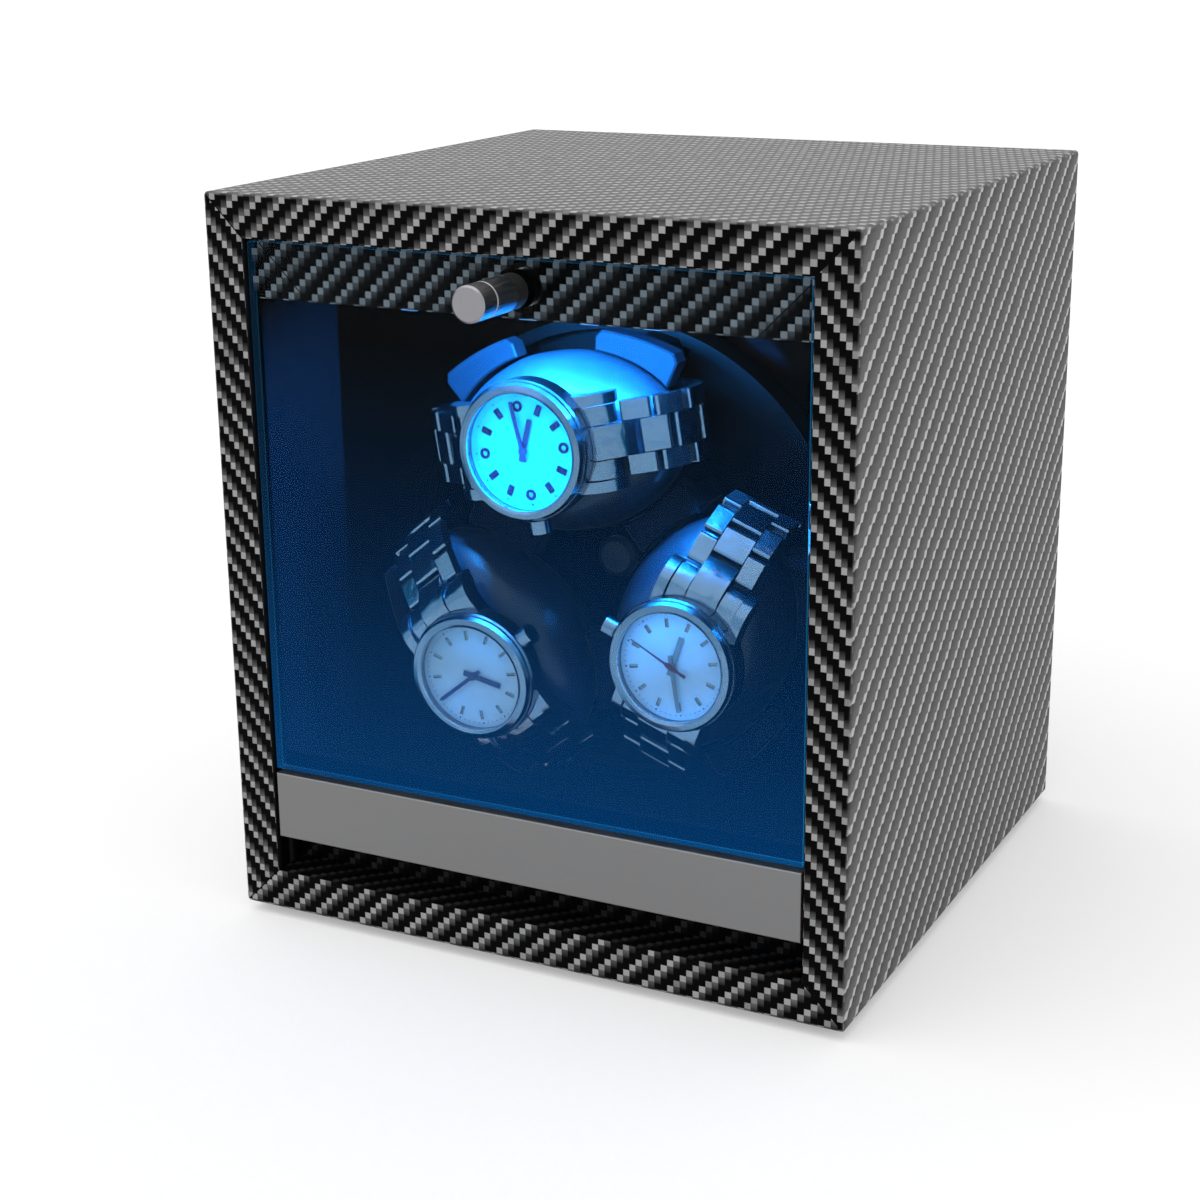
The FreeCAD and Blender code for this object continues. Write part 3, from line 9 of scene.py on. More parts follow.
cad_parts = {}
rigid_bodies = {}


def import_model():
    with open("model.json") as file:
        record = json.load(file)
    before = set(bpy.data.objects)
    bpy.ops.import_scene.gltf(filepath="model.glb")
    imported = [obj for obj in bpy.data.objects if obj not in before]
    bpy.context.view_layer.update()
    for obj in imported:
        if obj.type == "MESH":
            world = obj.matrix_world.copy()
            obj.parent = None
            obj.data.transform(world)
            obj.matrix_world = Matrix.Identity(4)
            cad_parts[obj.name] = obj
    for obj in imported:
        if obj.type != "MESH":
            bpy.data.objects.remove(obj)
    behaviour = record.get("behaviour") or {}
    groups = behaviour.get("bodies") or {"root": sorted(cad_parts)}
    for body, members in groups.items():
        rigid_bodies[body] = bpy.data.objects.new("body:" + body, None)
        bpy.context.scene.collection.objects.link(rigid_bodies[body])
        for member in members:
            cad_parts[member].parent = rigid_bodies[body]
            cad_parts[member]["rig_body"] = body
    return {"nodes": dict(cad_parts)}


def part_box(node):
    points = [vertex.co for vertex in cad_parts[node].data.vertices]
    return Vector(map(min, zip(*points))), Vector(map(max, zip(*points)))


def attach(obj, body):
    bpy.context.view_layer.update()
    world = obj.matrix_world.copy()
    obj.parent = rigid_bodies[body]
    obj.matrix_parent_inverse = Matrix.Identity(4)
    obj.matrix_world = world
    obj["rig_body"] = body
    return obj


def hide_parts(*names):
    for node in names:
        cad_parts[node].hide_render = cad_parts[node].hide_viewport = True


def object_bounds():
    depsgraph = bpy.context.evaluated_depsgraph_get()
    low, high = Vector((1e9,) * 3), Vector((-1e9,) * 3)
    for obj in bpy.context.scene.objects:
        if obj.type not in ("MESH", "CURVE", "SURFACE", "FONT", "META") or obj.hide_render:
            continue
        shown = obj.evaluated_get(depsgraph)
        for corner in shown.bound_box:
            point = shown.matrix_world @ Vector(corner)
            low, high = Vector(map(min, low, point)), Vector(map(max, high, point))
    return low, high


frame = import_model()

bl_info = {
    "name": "Watch winder box",
    "version": (1, 0, 0),
    "blender": (4, 5, 0),
    "location": "3D View > Sidebar > Winder",
    "description": "Dresses a three-watch winder box and sets it on a white stage",
    "category": "Object",
}

CAD_LOW, CAD_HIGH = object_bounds()
MM = 0.001
WATCHES = ("top", "left", "right")
CAROUSEL_AXIS = Vector((0, 0, 106 * MM))
# A 2 x 2 twill repeats after this many squares.
TWILL = 4
# Nearly all of a noise lies between these values.
NOISE_LOW, NOISE_HIGH = 0.3, 0.7
# Where hour marks, minute dots and the second hand end, as shares of a dial's radius.
HOUR_TRACK, MINUTE_TRACK, HAND_REACH = 0.84, 0.92, 0.86
# Height over the dial plate at which the marks begin.
MARK_FOOT = 0.02 * MM
# Degrees from one hour mark, or one minute dot, to the next.
HOUR_TURN, MINUTE_TURN = 30, 6


def linear(hex_colour):
    """Linear RGBA of an sRGB hex colour, as shaders and lamps take it."""
    channels = [int(hex_colour[i:i + 2], 16) / 255 for i in (1, 3, 5)]
    straight = [c / 12.92 if c <= 0.04045 else ((c + 0.055) / 1.055) ** 2.4 for c in channels]
    return (*straight, 1.0)


def dimmed(colour, share):
    """A darker tone of a colour."""
    return tuple(c * share for c in colour[:3]) + (1,)


def shade(label, detail, hex_colour):
    """A colour that the sidebar can change."""
    return FloatVectorProperty(
        name=label, description=detail, subtype="COLOR", size=4, min=0, max=1,
        default=linear(hex_colour))


def length(label, detail, millimetres):
    """A size that the sidebar can change."""
    return FloatProperty(
        name=label, description=detail, default=millimetres * MM, min=0, precision=5, unit="LENGTH")


class WinderSizes(bpy.types.PropertyGroup):
    """Sizes of the patterns and of the pieces that are added to the frame."""

    weave_across: length("Weave across", "Side of one tow square on film that lies across", 1.9)
    weave_wide: length("Weave wide", "Width of one tow square on the upright film", 1.63)
    weave_tall: length("Weave tall", "Height of one tow square on the upright film", 2.0)
    weave_deep: length("Weave deep", "Depth of one step of the ridges on the outer sides", 2.7)
    weave_high: length("Weave high", "Height of one step of the ridges on the outer sides", 2.2)
    foot: length("Foot", "Height of the feet under the cabinet", 3)
    mitre_line: length("Mitre line", "Width of the dark line where two panels meet", 0.5)
    leather_grain: length("Leather grain", "Width of one pore field of the leatherette", 0.9)
    mould_grain: length("Mould grain", "Width of the spark grain on moulded plastic", 0.45)
    brush_line: length("Brush line", "Width of one brushed line on satin metal", 0.35)
    cushion_swell: length("Cushion swell", "Furthest that stuffing pushes the cover out", 1.6)
    strap_hold: length("Strap hold", "Swell that the bracelet still lets through", 0.3)
    floor_size: length("Floor", "Side of the square floor", 16000)


class WinderColours(bpy.types.PropertyGroup):
    """Colours of the finishes."""

    film_dark: shade("Film dark", "Tows that lie away from the light", "#070708")
    film_light: shade("Film light", "Tows that lie towards the light", "#a6a6a6")
    # Painted shade: the film's light tows darkened where they lie in the recesses and on the toe panel.
    film_shade: shade("Film shade", "Light tows in the recesses", "#323232")
    # Painted sheen: the same film painted grey on the outer sides and the top, with painted highlights on
    # the ridges of the outer sides.
    side_sheen_dark: shade("Side dark", "Film between the ridges on the outer sides", "#525252")
    side_sheen_light: shade("Side light", "Ridges on the outer sides", "#d0d0d0")
    top_sheen_dark: shade("Top dark", "Dark tows on the outer top", "#6c6c6c")
    top_sheen_light: shade("Top light", "Light tows on the outer top", "#bebebe")
    lining: shade("Lining", "Polished black acrylic", "#030405")
    moulding: shade("Moulding", "Black moulded plastic", "#0c0e12")
    # Painted shade: black painted behind the claws' front and on the rear of the side linings, where the
    # chamber lies in shadow.
    painted_shade: shade("Black_shade", "Dull black flock behind the claws", "#000000")
    strip: shade("Strip", "Satin aluminium", "#848484")
    knob: shade("Knob", "Turned stainless steel", "#96969a")
    pane: shade("Pane", "Tinted float glass", "#c6d2da")
    # Painted glow: emission on the pane, which is no lamp, stands in for the diode light at its edges and
    # over its front.
    edge_glow: shade("Edge glow", "Blue light that leaves the pane at its edges", "#1d8fd0")
    painted_veil: shade("Veil", "Blue light that the pane scatters from its front", "#008aff")
    lamp: shade("Lamp", "Light of the diodes", "#1f97ff")
    glow: shade("Glow", "Light that the pane gives back", "#00bfff")
    leather: shade("Leather", "Black leatherette", "#12161c")
    steel: shade("Steel", "Polished watch steel", "#989ba0")
    dial: shade("Dial", "Pale lacquer", "#eef0f2")
    # Partly the top dial's own pale cyan lacquer, partly painted light: its deep cyan stands in for the blue
    # diode light.
    ice_lamp_tint: shade("Ice", "Ice-blue lacquer of the top dial", "#04bcc8")
    navy: shade("Navy", "Blued steel of hands and batons", "#0c1c3c")


def sizes():
    """The sizes as the sidebar has them."""
    return bpy.context.scene.winder_sizes


def colours():
    """The colours as the sidebar has them."""
    return bpy.context.scene.winder_colours


def add(tree, kind, inputs=None, **settings):
    """Adds a node: an input given as a node or socket is linked, any other sets its value."""
    made = tree.nodes.new(kind)
    for name, value in settings.items():
        setattr(made, name, value)
    for key, value in (inputs or {}).items():
        if isinstance(key, int):
            target = made.inputs[key]
        else:
            target = next(s for s in made.inputs if s.enabled and s.name == key)
        if isinstance(value, bpy.types.Node):
            value = next(s for s in value.outputs if s.enabled)
        if isinstance(value, bpy.types.NodeSocket):
            tree.links.new(value, target)
        else:
            target.default_value = value
    return made


def calc(tree, operation, *values, clamp=False):
    """Reckons with numbers."""
    return add(tree, "ShaderNodeMath", dict(enumerate(values)), operation=operation, use_clamp=clamp)


def vector(tree, operation, *values):
    """Reckons with vectors."""
    return add(tree, "ShaderNodeVectorMath", dict(enumerate(values)), operation=operation)


def split(tree, value):
    """The X, Y and Z of a vector."""
    return add(tree, "ShaderNodeSeparateXYZ", {0: value}).outputs


def ramp(tree, value, start, end, first, last, shape="LINEAR"):
    """Goes from the first level to the last between start and end, and stays level beyond them."""
    return add(
        tree, "ShaderNodeMapRange", {0: value, 1: start, 2: end, 3: first, 4: last},
        interpolation_type=shape)


def blend(tree, factor, first, second):
    """Goes from one colour to another."""
    mix = add(tree, "ShaderNodeMix", {"Factor": factor, "A": first, "B": second}, data_type="RGBA")
    return mix.outputs[2]


def noise(tree, place, scale, detail=2):
    """Soft random blots."""
    made = add(tree, "ShaderNodeTexNoise", {"Vector": place, "Scale": scale, "Detail": detail})
    return made.outputs["Fac"]


def surface(name, **values):
    """A new material: its tree and its shader, with constant values on the shader's own sockets."""
    material = bpy.data.materials.new(name)
    material.use_nodes = True
    shader = material.node_tree.nodes["Principled BSDF"]
    for key, value in values.items():
        shader.inputs[key.replace("_", " ")].default_value = value
    return material, material.node_tree, shader


def roughen(tree, shader, pattern, least, most):
    """Lets the roughness follow a pattern, between two shares of its own value."""
    base = shader.inputs["Roughness"].default_value
    rough = ramp(tree, pattern, NOISE_LOW, NOISE_HIGH, base * least, base * most)
    tree.links.new(rough.outputs[0], shader.inputs["Roughness"])


def emboss(tree, shader, pattern, strength, depth):
    """Raises a pattern out of the surface."""
    bump = add(tree, "ShaderNodeBump", {"Strength": strength, "Distance": depth, "Height": pattern})
    tree.links.new(bump.outputs[0], shader.inputs["Normal"])


def tow_fade(tree, across, upward, cell, slant, fade):
    """How light a 2 x 2 twill is: squares that climb in steps, each with a dim one behind it.

    A slant of 1 climbs to the right and -1 to the left. A fade of 1 puts the dim squares above the
    light ones and -1 below them.
    """
    half = 0.5
    seam_share, seam_level = 0.1, 0.45
    light_ends = (0.85, 1.05)
    dim_ends, dim_level = (1, 2.2), 0.3
    tow_scale, dullest, brightest = 0.9, 0.5, 1.3
    across = calc(tree, "DIVIDE", across, cell[0])
    column = calc(tree, "FLOOR", across)
    seam = ramp(tree, calc(tree, "PINGPONG", across, half), 0, seam_share, seam_level, 1)
    upward = calc(tree, "DIVIDE", upward, cell[1])
    climb = calc(tree, "MULTIPLY_ADD", column, -slant, upward)
    climb = calc(tree, "MULTIPLY", climb, fade)
    climb = calc(tree, "FLOORED_MODULO", climb, TWILL)
    near = ramp(tree, climb, *light_ends, 1, 0)
    far = ramp(tree, climb, *dim_ends, dim_level, 0)
    light = calc(tree, "MULTIPLY", calc(tree, "MAXIMUM", near, far), seam)
    tow = add(tree, "ShaderNodeCombineXYZ", {"X": column, "Y": calc(tree, "FLOOR", upward)})
    uneven = ramp(tree, noise(tree, tow, tow_scale), NOISE_LOW, NOISE_HIGH, dullest, brightest)
    return calc(tree, "MULTIPLY", light, uneven)


def ridge_highlights(tree, across, upward, cell):
    """Painted highlights on thin stepped ridges along the tows, each with painted shade at its foot."""
    waver_scale, waver = 70, 1.4
    lean = 0.5
    ridge_ends = (2.9, 3.5)
    slope_end, slope_level = 2.4, 0.16
    row = calc(tree, "DIVIDE", upward, cell[1])
    step = calc(tree, "FLOOR", row)
    within = calc(tree, "FRACT", row)
    place = add(tree, "ShaderNodeCombineXYZ", {"X": across, "Y": upward})
    wave = noise(tree, place, waver_scale)
    run = calc(tree, "DIVIDE", across, cell[0])
    run = calc(tree, "MULTIPLY_ADD", step, -1, run)
    run = calc(tree, "MULTIPLY_ADD", within, -lean, run)
    run = calc(tree, "MULTIPLY_ADD", wave, waver, run)
    run = calc(tree, "FLOORED_MODULO", run, TWILL)
    # Painted highlight along each ridge. Just past it the tone drops to painted shade and slowly lifts.
    ridge = ramp(tree, run, *ridge_ends, 0, 1, "SMOOTHSTEP")
    slope = ramp(tree, run, 0, slope_end, 0, slope_level)
    return calc(tree, "MAXIMUM", ridge, slope)


def carbon_film(name, cell, slant, fade, light):
    """Self-adhesive vinyl film with an embossed 2 x 2 carbon twill.

    The eye sees black with diagonals of light squares, each with a dim one behind it. On the outer
    sides and the top the film's sheen is painted in: the same film is painted grey there, and the
    outer sides get painted highlights on thin pale stepped ridges. In the recesses painted shade
    makes it nearly black. The tone of the light squares on faces to the front is given, because the
    toe panel lies in shade and gets painted shade.
    """
    material, tree, shader = surface(name, Roughness=0.5, Specular_IOR_Level=0.02)
    tint = colours()
    size = sizes()
    square = (size.weave_across, size.weave_across)
    middle = (CAD_HIGH.z + size.foot) / 2
    half_height = CAD_HIGH.z - middle
    skin = 1 * MM
    facing_front = 0.6
    spot = add(tree, "ShaderNodeTexCoord")
    x, y, z = split(tree, spot.outputs["Object"])
    facing = split(tree, vector(tree, "ABSOLUTE", spot.outputs["Normal"]))
    from_middle = vector(tree, "SUBTRACT", spot.outputs["Object"], (0, 0, middle))
    reach = split(tree, vector(tree, "ABSOLUTE", from_middle))
    front = calc(tree, "GREATER_THAN", facing["Y"], facing_front)
    # Masks for the outer sides and the top, which get the painted sheen.
    sheen_side = calc(tree, "GREATER_THAN", reach["X"], CAD_HIGH.x - skin)
    sheen_side = calc(tree, "MULTIPLY", sheen_side, facing["X"])
    sheen_lid = calc(tree, "GREATER_THAN", reach["Z"], half_height - skin)
    sheen_lid = calc(tree, "MULTIPLY", sheen_lid, facing["Z"])
    level_film = tow_fade(tree, x, y, square, slant, fade)
    rails = tow_fade(tree, x, z, cell, slant, fade)
    mitre = calc(tree, "SUBTRACT", reach["X"], reach["Z"])
    mitre = calc(tree, "COMPARE", mitre, CAD_HIGH.x - half_height, size.mitre_line / 2)
    rails = calc(tree, "SUBTRACT", rails, mitre, clamp=True)
    side_highlights = ridge_highlights(tree, y, z, (size.weave_deep, size.weave_high))
    # Faces that are neither front, outer sides nor top are the recesses, where painted shade keeps the film
    # nearly black.
    colour = blend(tree, level_film, tint.film_dark, tint.film_shade)
    # Outer sides and top get painted sheen: grey tones, with painted ridge highlights on the outer sides.
    for where, pattern, dark, pale in (
            (front, rails, tint.film_dark, light),
            (sheen_side, side_highlights, tint.side_sheen_dark, tint.side_sheen_light),
            (sheen_lid, level_film, tint.top_sheen_dark, tint.top_sheen_light)):
        colour = blend(tree, where, colour, blend(tree, pattern, dark, pale))
    tree.links.new(colour, shader.inputs["Base Color"])
    emboss(tree, shader, rails, strength=0.25, depth=0.08 * MM)
    return material


def grained(name, colour, grain, depth, **values):
    """A finish with an even grain of bumps; its colour and roughness drift a little across it."""
    grain_detail = 3
    drift_width = 30 * MM
    material, tree, shader = surface(name, **values)
    place = add(tree, "ShaderNodeTexCoord").outputs["Object"]
    bumps = noise(tree, place, 1 / grain, grain_detail)
    drift = noise(tree, place, 1 / drift_width)
    tone = blend(tree, drift, dimmed(colour, share=0.7), colour)
    tree.links.new(tone, shader.inputs["Base Color"])
    roughen(tree, shader, drift, least=0.85, most=1.15)
    emboss(tree, shader, bumps, strength=0.5, depth=depth)
    return material


def shaded_behind_claws(name, front, start, end):
    """A finish whose front stays as it was; behind the claws it is painted black, as painted shade."""
    material = front.copy()
    material.name = name
    tree = material.node_tree
    shader = tree.nodes["Principled BSDF"]
    bare = shader.inputs["Base Color"].links[0].from_socket
    claw_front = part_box("turntable")[0].y
    place = split(tree, add(tree, "ShaderNodeTexCoord").outputs["Object"])
    # Painted shade: from the claws' front backwards the colour goes to black.
    behind = ramp(tree, place["Y"], claw_front + start, claw_front + end, 0, 1)
    tone = blend(tree, behind, bare, colours().painted_shade)
    tree.links.new(tone, shader.inputs["Base Color"])
    return material


def brushed(name, colour, along, **values):
    """Metal drawn or brushed one way: fine lines along the stroke carry the gloss."""
    line_stretch = 0.02
    material, tree, shader = surface(name, Metallic=1, **values)
    place = add(tree, "ShaderNodeTexCoord").outputs["Object"]
    squeeze = tuple(line_stretch if axis == along else 1 for axis in "XYZ")
    lines = noise(tree, vector(tree, "MULTIPLY", place, squeeze), 1 / sizes().brush_line)
    tone = blend(tree, lines, dimmed(colour, share=0.85), colour)
    tree.links.new(tone, shader.inputs["Base Color"])
    roughen(tree, shader, lines, least=0.85, most=1.2)
    emboss(tree, shader, lines, strength=0.1, depth=0.02 * MM)
    return material


def tinted_glass(name, colour):
    """Polished float glass with a grey tint.

    The eye sees a painted glow that stands in for the light of the diodes: bright at the edges, most
    low down and to the right, and faint and blue over the front of the pane, strongest low down.
    """
    veil_clear, veil_bend, veil_level = 22 * MM, 1.7, 0.13
    rim_low, rim_high = 0.6, 0.3
    rim_left, rim_right = 0.5, 1
    arris_inner, arris_outer, core_level = 0.7 * MM, 0.3 * MM, 0.2
    facing_aside = 0.5
    material, tree, shader = surface(
        name, Base_Color=colour, Roughness=0.0, IOR=1.1, Transmission_Weight=1)
    low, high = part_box("door_glass")
    half = (high.y - low.y) / 2
    spot = add(tree, "ShaderNodeTexCoord")
    facing = split(tree, vector(tree, "ABSOLUTE", spot.outputs["Normal"]))
    edge = calc(tree, "LESS_THAN", facing["Y"], facing_aside)
    x, y, z = split(tree, spot.outputs["Object"])
    depth = calc(tree, "SUBTRACT", y, (low.y + high.y) / 2)
    # Painted glow on the front of the pane, strongest low down.
    painted_veil = ramp(tree, z, low.z, high.z - veil_clear, 1, 0)
    painted_veil = calc(tree, "POWER", painted_veil, veil_bend)
    painted_veil = calc(tree, "MULTIPLY", painted_veil, veil_level)
    front = calc(tree, "LESS_THAN", depth, 0)
    painted_veil = calc(tree, "MULTIPLY", painted_veil, front)
    # Painted glow at the edges of the pane: brighter low down, to the right and at the arrises.
    painted_rim = ramp(tree, z, low.z, high.z, rim_low, rim_high)
    hand = ramp(tree, x, low.x, high.x, rim_left, rim_right)
    painted_rim = calc(tree, "MULTIPLY", painted_rim, hand)
    arris = calc(tree, "ABSOLUTE", depth)
    arris = ramp(tree, arris, half - arris_inner, half - arris_outer, core_level, 1)
    painted_rim = calc(tree, "MULTIPLY", painted_rim, arris)
    glow = add(tree, "ShaderNodeMix", {"Factor": edge, "A": painted_veil, "B": painted_rim})
    tint = blend(tree, edge, colours().painted_veil, colours().edge_glow)
    tree.links.new(tint, shader.inputs["Emission Color"])
    tree.links.new(glow.outputs[0], shader.inputs["Emission Strength"])
    return material


def dial_lacquer(name, watch, plate_colour, hand_colour):
    """Sunburst lacquer on the dial plate, and blued or bare steel on the hands over it.

    The eye sees faint rays that spread from the middle of the plate.
    """
    ray_scale, ray_detail = 9, 4
    hand_height = 0.2 * MM
    material, tree, shader = surface(name, Roughness=0.35)
    place = add(tree, "ShaderNodeTexCoord").outputs["Object"]
    local = vector(tree, "SUBTRACT", place, watch["middle"])
    ray = vector(tree, "NORMALIZE", vector(tree, "MULTIPLY", local, (1, 0, 1)))
    burst = noise(tree, ray, ray_scale, ray_detail)
    plate = blend(tree, burst, dimmed(plate_colour, share=0.86), plate_colour)
    height = vector(tree, "DOT_PRODUCT", local, watch["face"]).outputs["Value"]
    above = calc(tree, "GREATER_THAN", height, hand_height)
    tone = blend(tree, above, plate, hand_colour)
    tree.links.new(tone, shader.inputs["Base Color"])
    return material


def clear_glass(name):
    """Domed mineral glass, clear and polished, with the faintest dust in its gloss."""
    dust_scale, dust_start, dust_end, dust_rough = 900, 0.55, 0.8, 0.03
    material, tree, shader = surface(name, IOR=1.3, Transmission_Weight=1)
    place = add(tree, "ShaderNodeTexCoord").outputs["Object"]
    rough = ramp(tree, noise(tree, place, dust_scale), dust_start, dust_end, 0, dust_rough)
    tree.links.new(rough.outputs[0], shader.inputs["Roughness"])
    return material


def lit_diode(name):
    """Blue diode under a diffusing cap that glows a little unevenly."""
    cap_scale, dimmest, brightest = 600, 2, 3
    material, tree, shader = surface(name, Base_Color=linear("#dfe8ee"), Roughness=0.4)
    place = add(tree, "ShaderNodeTexCoord").outputs["Object"]
    glow = ramp(tree, noise(tree, place, cap_scale), NOISE_LOW, NOISE_HIGH, dimmest, brightest)
    shader.inputs["Emission Color"].default_value = colours().lamp
    tree.links.new(glow.outputs[0], shader.inputs["Emission Strength"])
    return material


def dress(material, *names):
    """Puts a finish on CAD nodes."""
    for name in names:
        frame["nodes"][name].material_slots[0].material = material


def piece(name, mesh, body, material):
    """A new piece of the object that rides on a CAD body."""
    made = bpy.data.objects.new(name, mesh)
    bpy.context.scene.collection.objects.link(made)
    mesh.materials.append(material)
    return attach(made, body)


def watch_place(name):
    """A watch's dial: its middle, visible radius, and directions out of its face, to twelve and to three."""
    facing_front = -0.9
    low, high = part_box(name + "_watch_crystal")
    pillow_low, pillow_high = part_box(name + "_cushion")
    plate = frame["nodes"][name + "_watch_dial"].data
    front = [part for part in plate.polygons if part.normal.y < facing_front]
    face = sum((part.normal * part.area for part in front), Vector()).normalized()
    level = min(part.center.dot(face) for part in front)
    crystal = (low + high) / 2
    out = (pillow_low + pillow_high) / 2 - CAROUSEL_AXIS
    out.y = 0
    out.normalize()
    return {
        "middle": crystal + face * (level - crystal.dot(face)),
        "radius": max(high.x - low.x, high.z - low.z) / 2,
        "face": face,
        "twelve": out.cross(face),
        "three": -out,
    }


class WINDER_OT_cabinet(bpy.types.Operator):
    """Wraps the panels in carbon film and finishes the linings, the rubber parts and the magnet"""

    bl_idname = "winder.cabinet"
    bl_label = "Cabinet"

    def execute(self, context):
        square = (sizes().weave_across, sizes().weave_across)
        tall = (sizes().weave_wide, sizes().weave_tall)
        light = colours().film_light
        in_shade = colours().film_shade
        for name, cell, slant, fade, tone, panels in (
                ("carbon_twill_film_top", square, 1, 1, light, ("top_panel",)),
                ("carbon_twill_film_across", square, 1, -1, light, ("bottom_panel", "header_rail")),
                ("carbon_twill_film_upright", tall, -1, 1, light, ("left_panel", "right_panel")),
                # The toe panel's light tows take the film shade: painted shade of the recess.
                ("carbon_twill_film_toe", square, 1, -1, in_shade, ("toe_panel",))):
            dress(carbon_film(name, cell, slant, fade, tone), *panels)
        lining = grained(
            "polished_black_acrylic", colours().lining, grain=6 * MM, depth=0.02 * MM,
            Roughness=0.16, Specular_IOR_Level=0.05)
        dress(lining, "mechanism_board")
        # Behind the claws' front the side linings are painted black: painted shade.
        dress(shaded_behind_claws("black_acrylic_painted_shade", lining, start=0, end=1 * MM), "side_linings")
        dress(
            grained(
                "black_flock", colours().lining, grain=0.4 * MM, depth=0.05 * MM,
                Roughness=0.9, Specular_IOR_Level=0),
            "floor_and_ceiling_linings", "glass_carrier")
        dress(
            grained(
                "black_nitrile_rubber", linear("#151515"), grain=0.6 * MM, depth=0.05 * MM,
                Roughness=0.75),
            "rubber_feet", "door_stop_pads", "knob_washers")
        dress(
            grained(
                "nickel_plate", linear("#b9b4aa"), grain=0.5 * MM, depth=0.01 * MM,
                Metallic=1, Roughness=0.25),
            "catch_magnet")
        return {"FINISHED"}


class WINDER_OT_door(bpy.types.Operator):
    """Finishes the glass door, its strip and knob, and the metal fittings"""

    bl_idname = "winder.door"
    bl_label = "Door"

    def execute(self, context):
        dress(tinted_glass("tinted_float_glass", colours().pane), "door_glass")
        frame["nodes"]["door_glass"].visible_shadow = False
        dress(brushed("satin_anodised_aluminium", colours().strip, "X", Roughness=0.45), "door_strip")
        dress(brushed("turned_stainless_steel", colours().knob, "Y", Roughness=0.3), "door_knob")
        dress(
            grained(
                "black_powder_coat", linear("#101112"), grain=0.5 * MM, depth=0.03 * MM,
                Roughness=0.5),
            "cover_screws", "carousel_screw")
        dress(
            grained(
                "bright_zinc_steel", linear("#a9aaac"), grain=0.8 * MM, depth=0.01 * MM,
                Metallic=1, Roughness=0.3),
            "knob_screw", "pivot_pins", "carousel_shaft", "shaft_clip", "bracket_standoffs",
            "bracket_screws", "motor_can")
        dress(
            grained(
                "sintered_bronze", linear("#a07844"), grain=0.3 * MM, depth=0.02 * MM,
                Metallic=1, Roughness=0.45),
            "pivot_bushes", "shaft_bushes")
        return {"FINISHED"}


class WINDER_OT_carousel(bpy.types.Operator):
    """Finishes the turntable, the other plastic mouldings and the drive"""

    bl_idname = "winder.carousel"
    bl_label = "Carousel"

    def execute(self, context):
        plastic = grained(
            "moulded_black_abs", colours().moulding, sizes().mould_grain, depth=0.02 * MM, Roughness=0.4)
        dress(
            plastic, "light_bar", "gearbox", "board_standoffs", "power_inlet", "rocker_housing", "rocker",
            "selector_body", "selector_knob")
        # Behind the claws' front the turntable is painted black: painted shade.
        claws = shaded_behind_claws("black_abs_painted_shade", plastic, start=7 * MM, end=12 * MM)
        claws.node_tree.nodes["Principled BSDF"].inputs["Specular IOR Level"].default_value = 0.03
        dress(claws, "turntable")
        dress(
            grained(
                "white_acetal", linear("#e4e2da"), grain=0.8 * MM, depth=0.01 * MM, Roughness=0.4),
            "drive_gear")
        dress(
            grained(
                "cut_brass", linear("#c79a4a"), grain=0.5 * MM, depth=0.01 * MM,
                Metallic=1, Roughness=0.28),
            "motor_pinion")
        dress(
            grained(
                "zinc_plated_sheet", linear("#9aa0a6"), grain=4 * MM, depth=0.02 * MM,
                Metallic=1, Roughness=0.4),
            "drive_bracket")
        return {"FINISHED"}


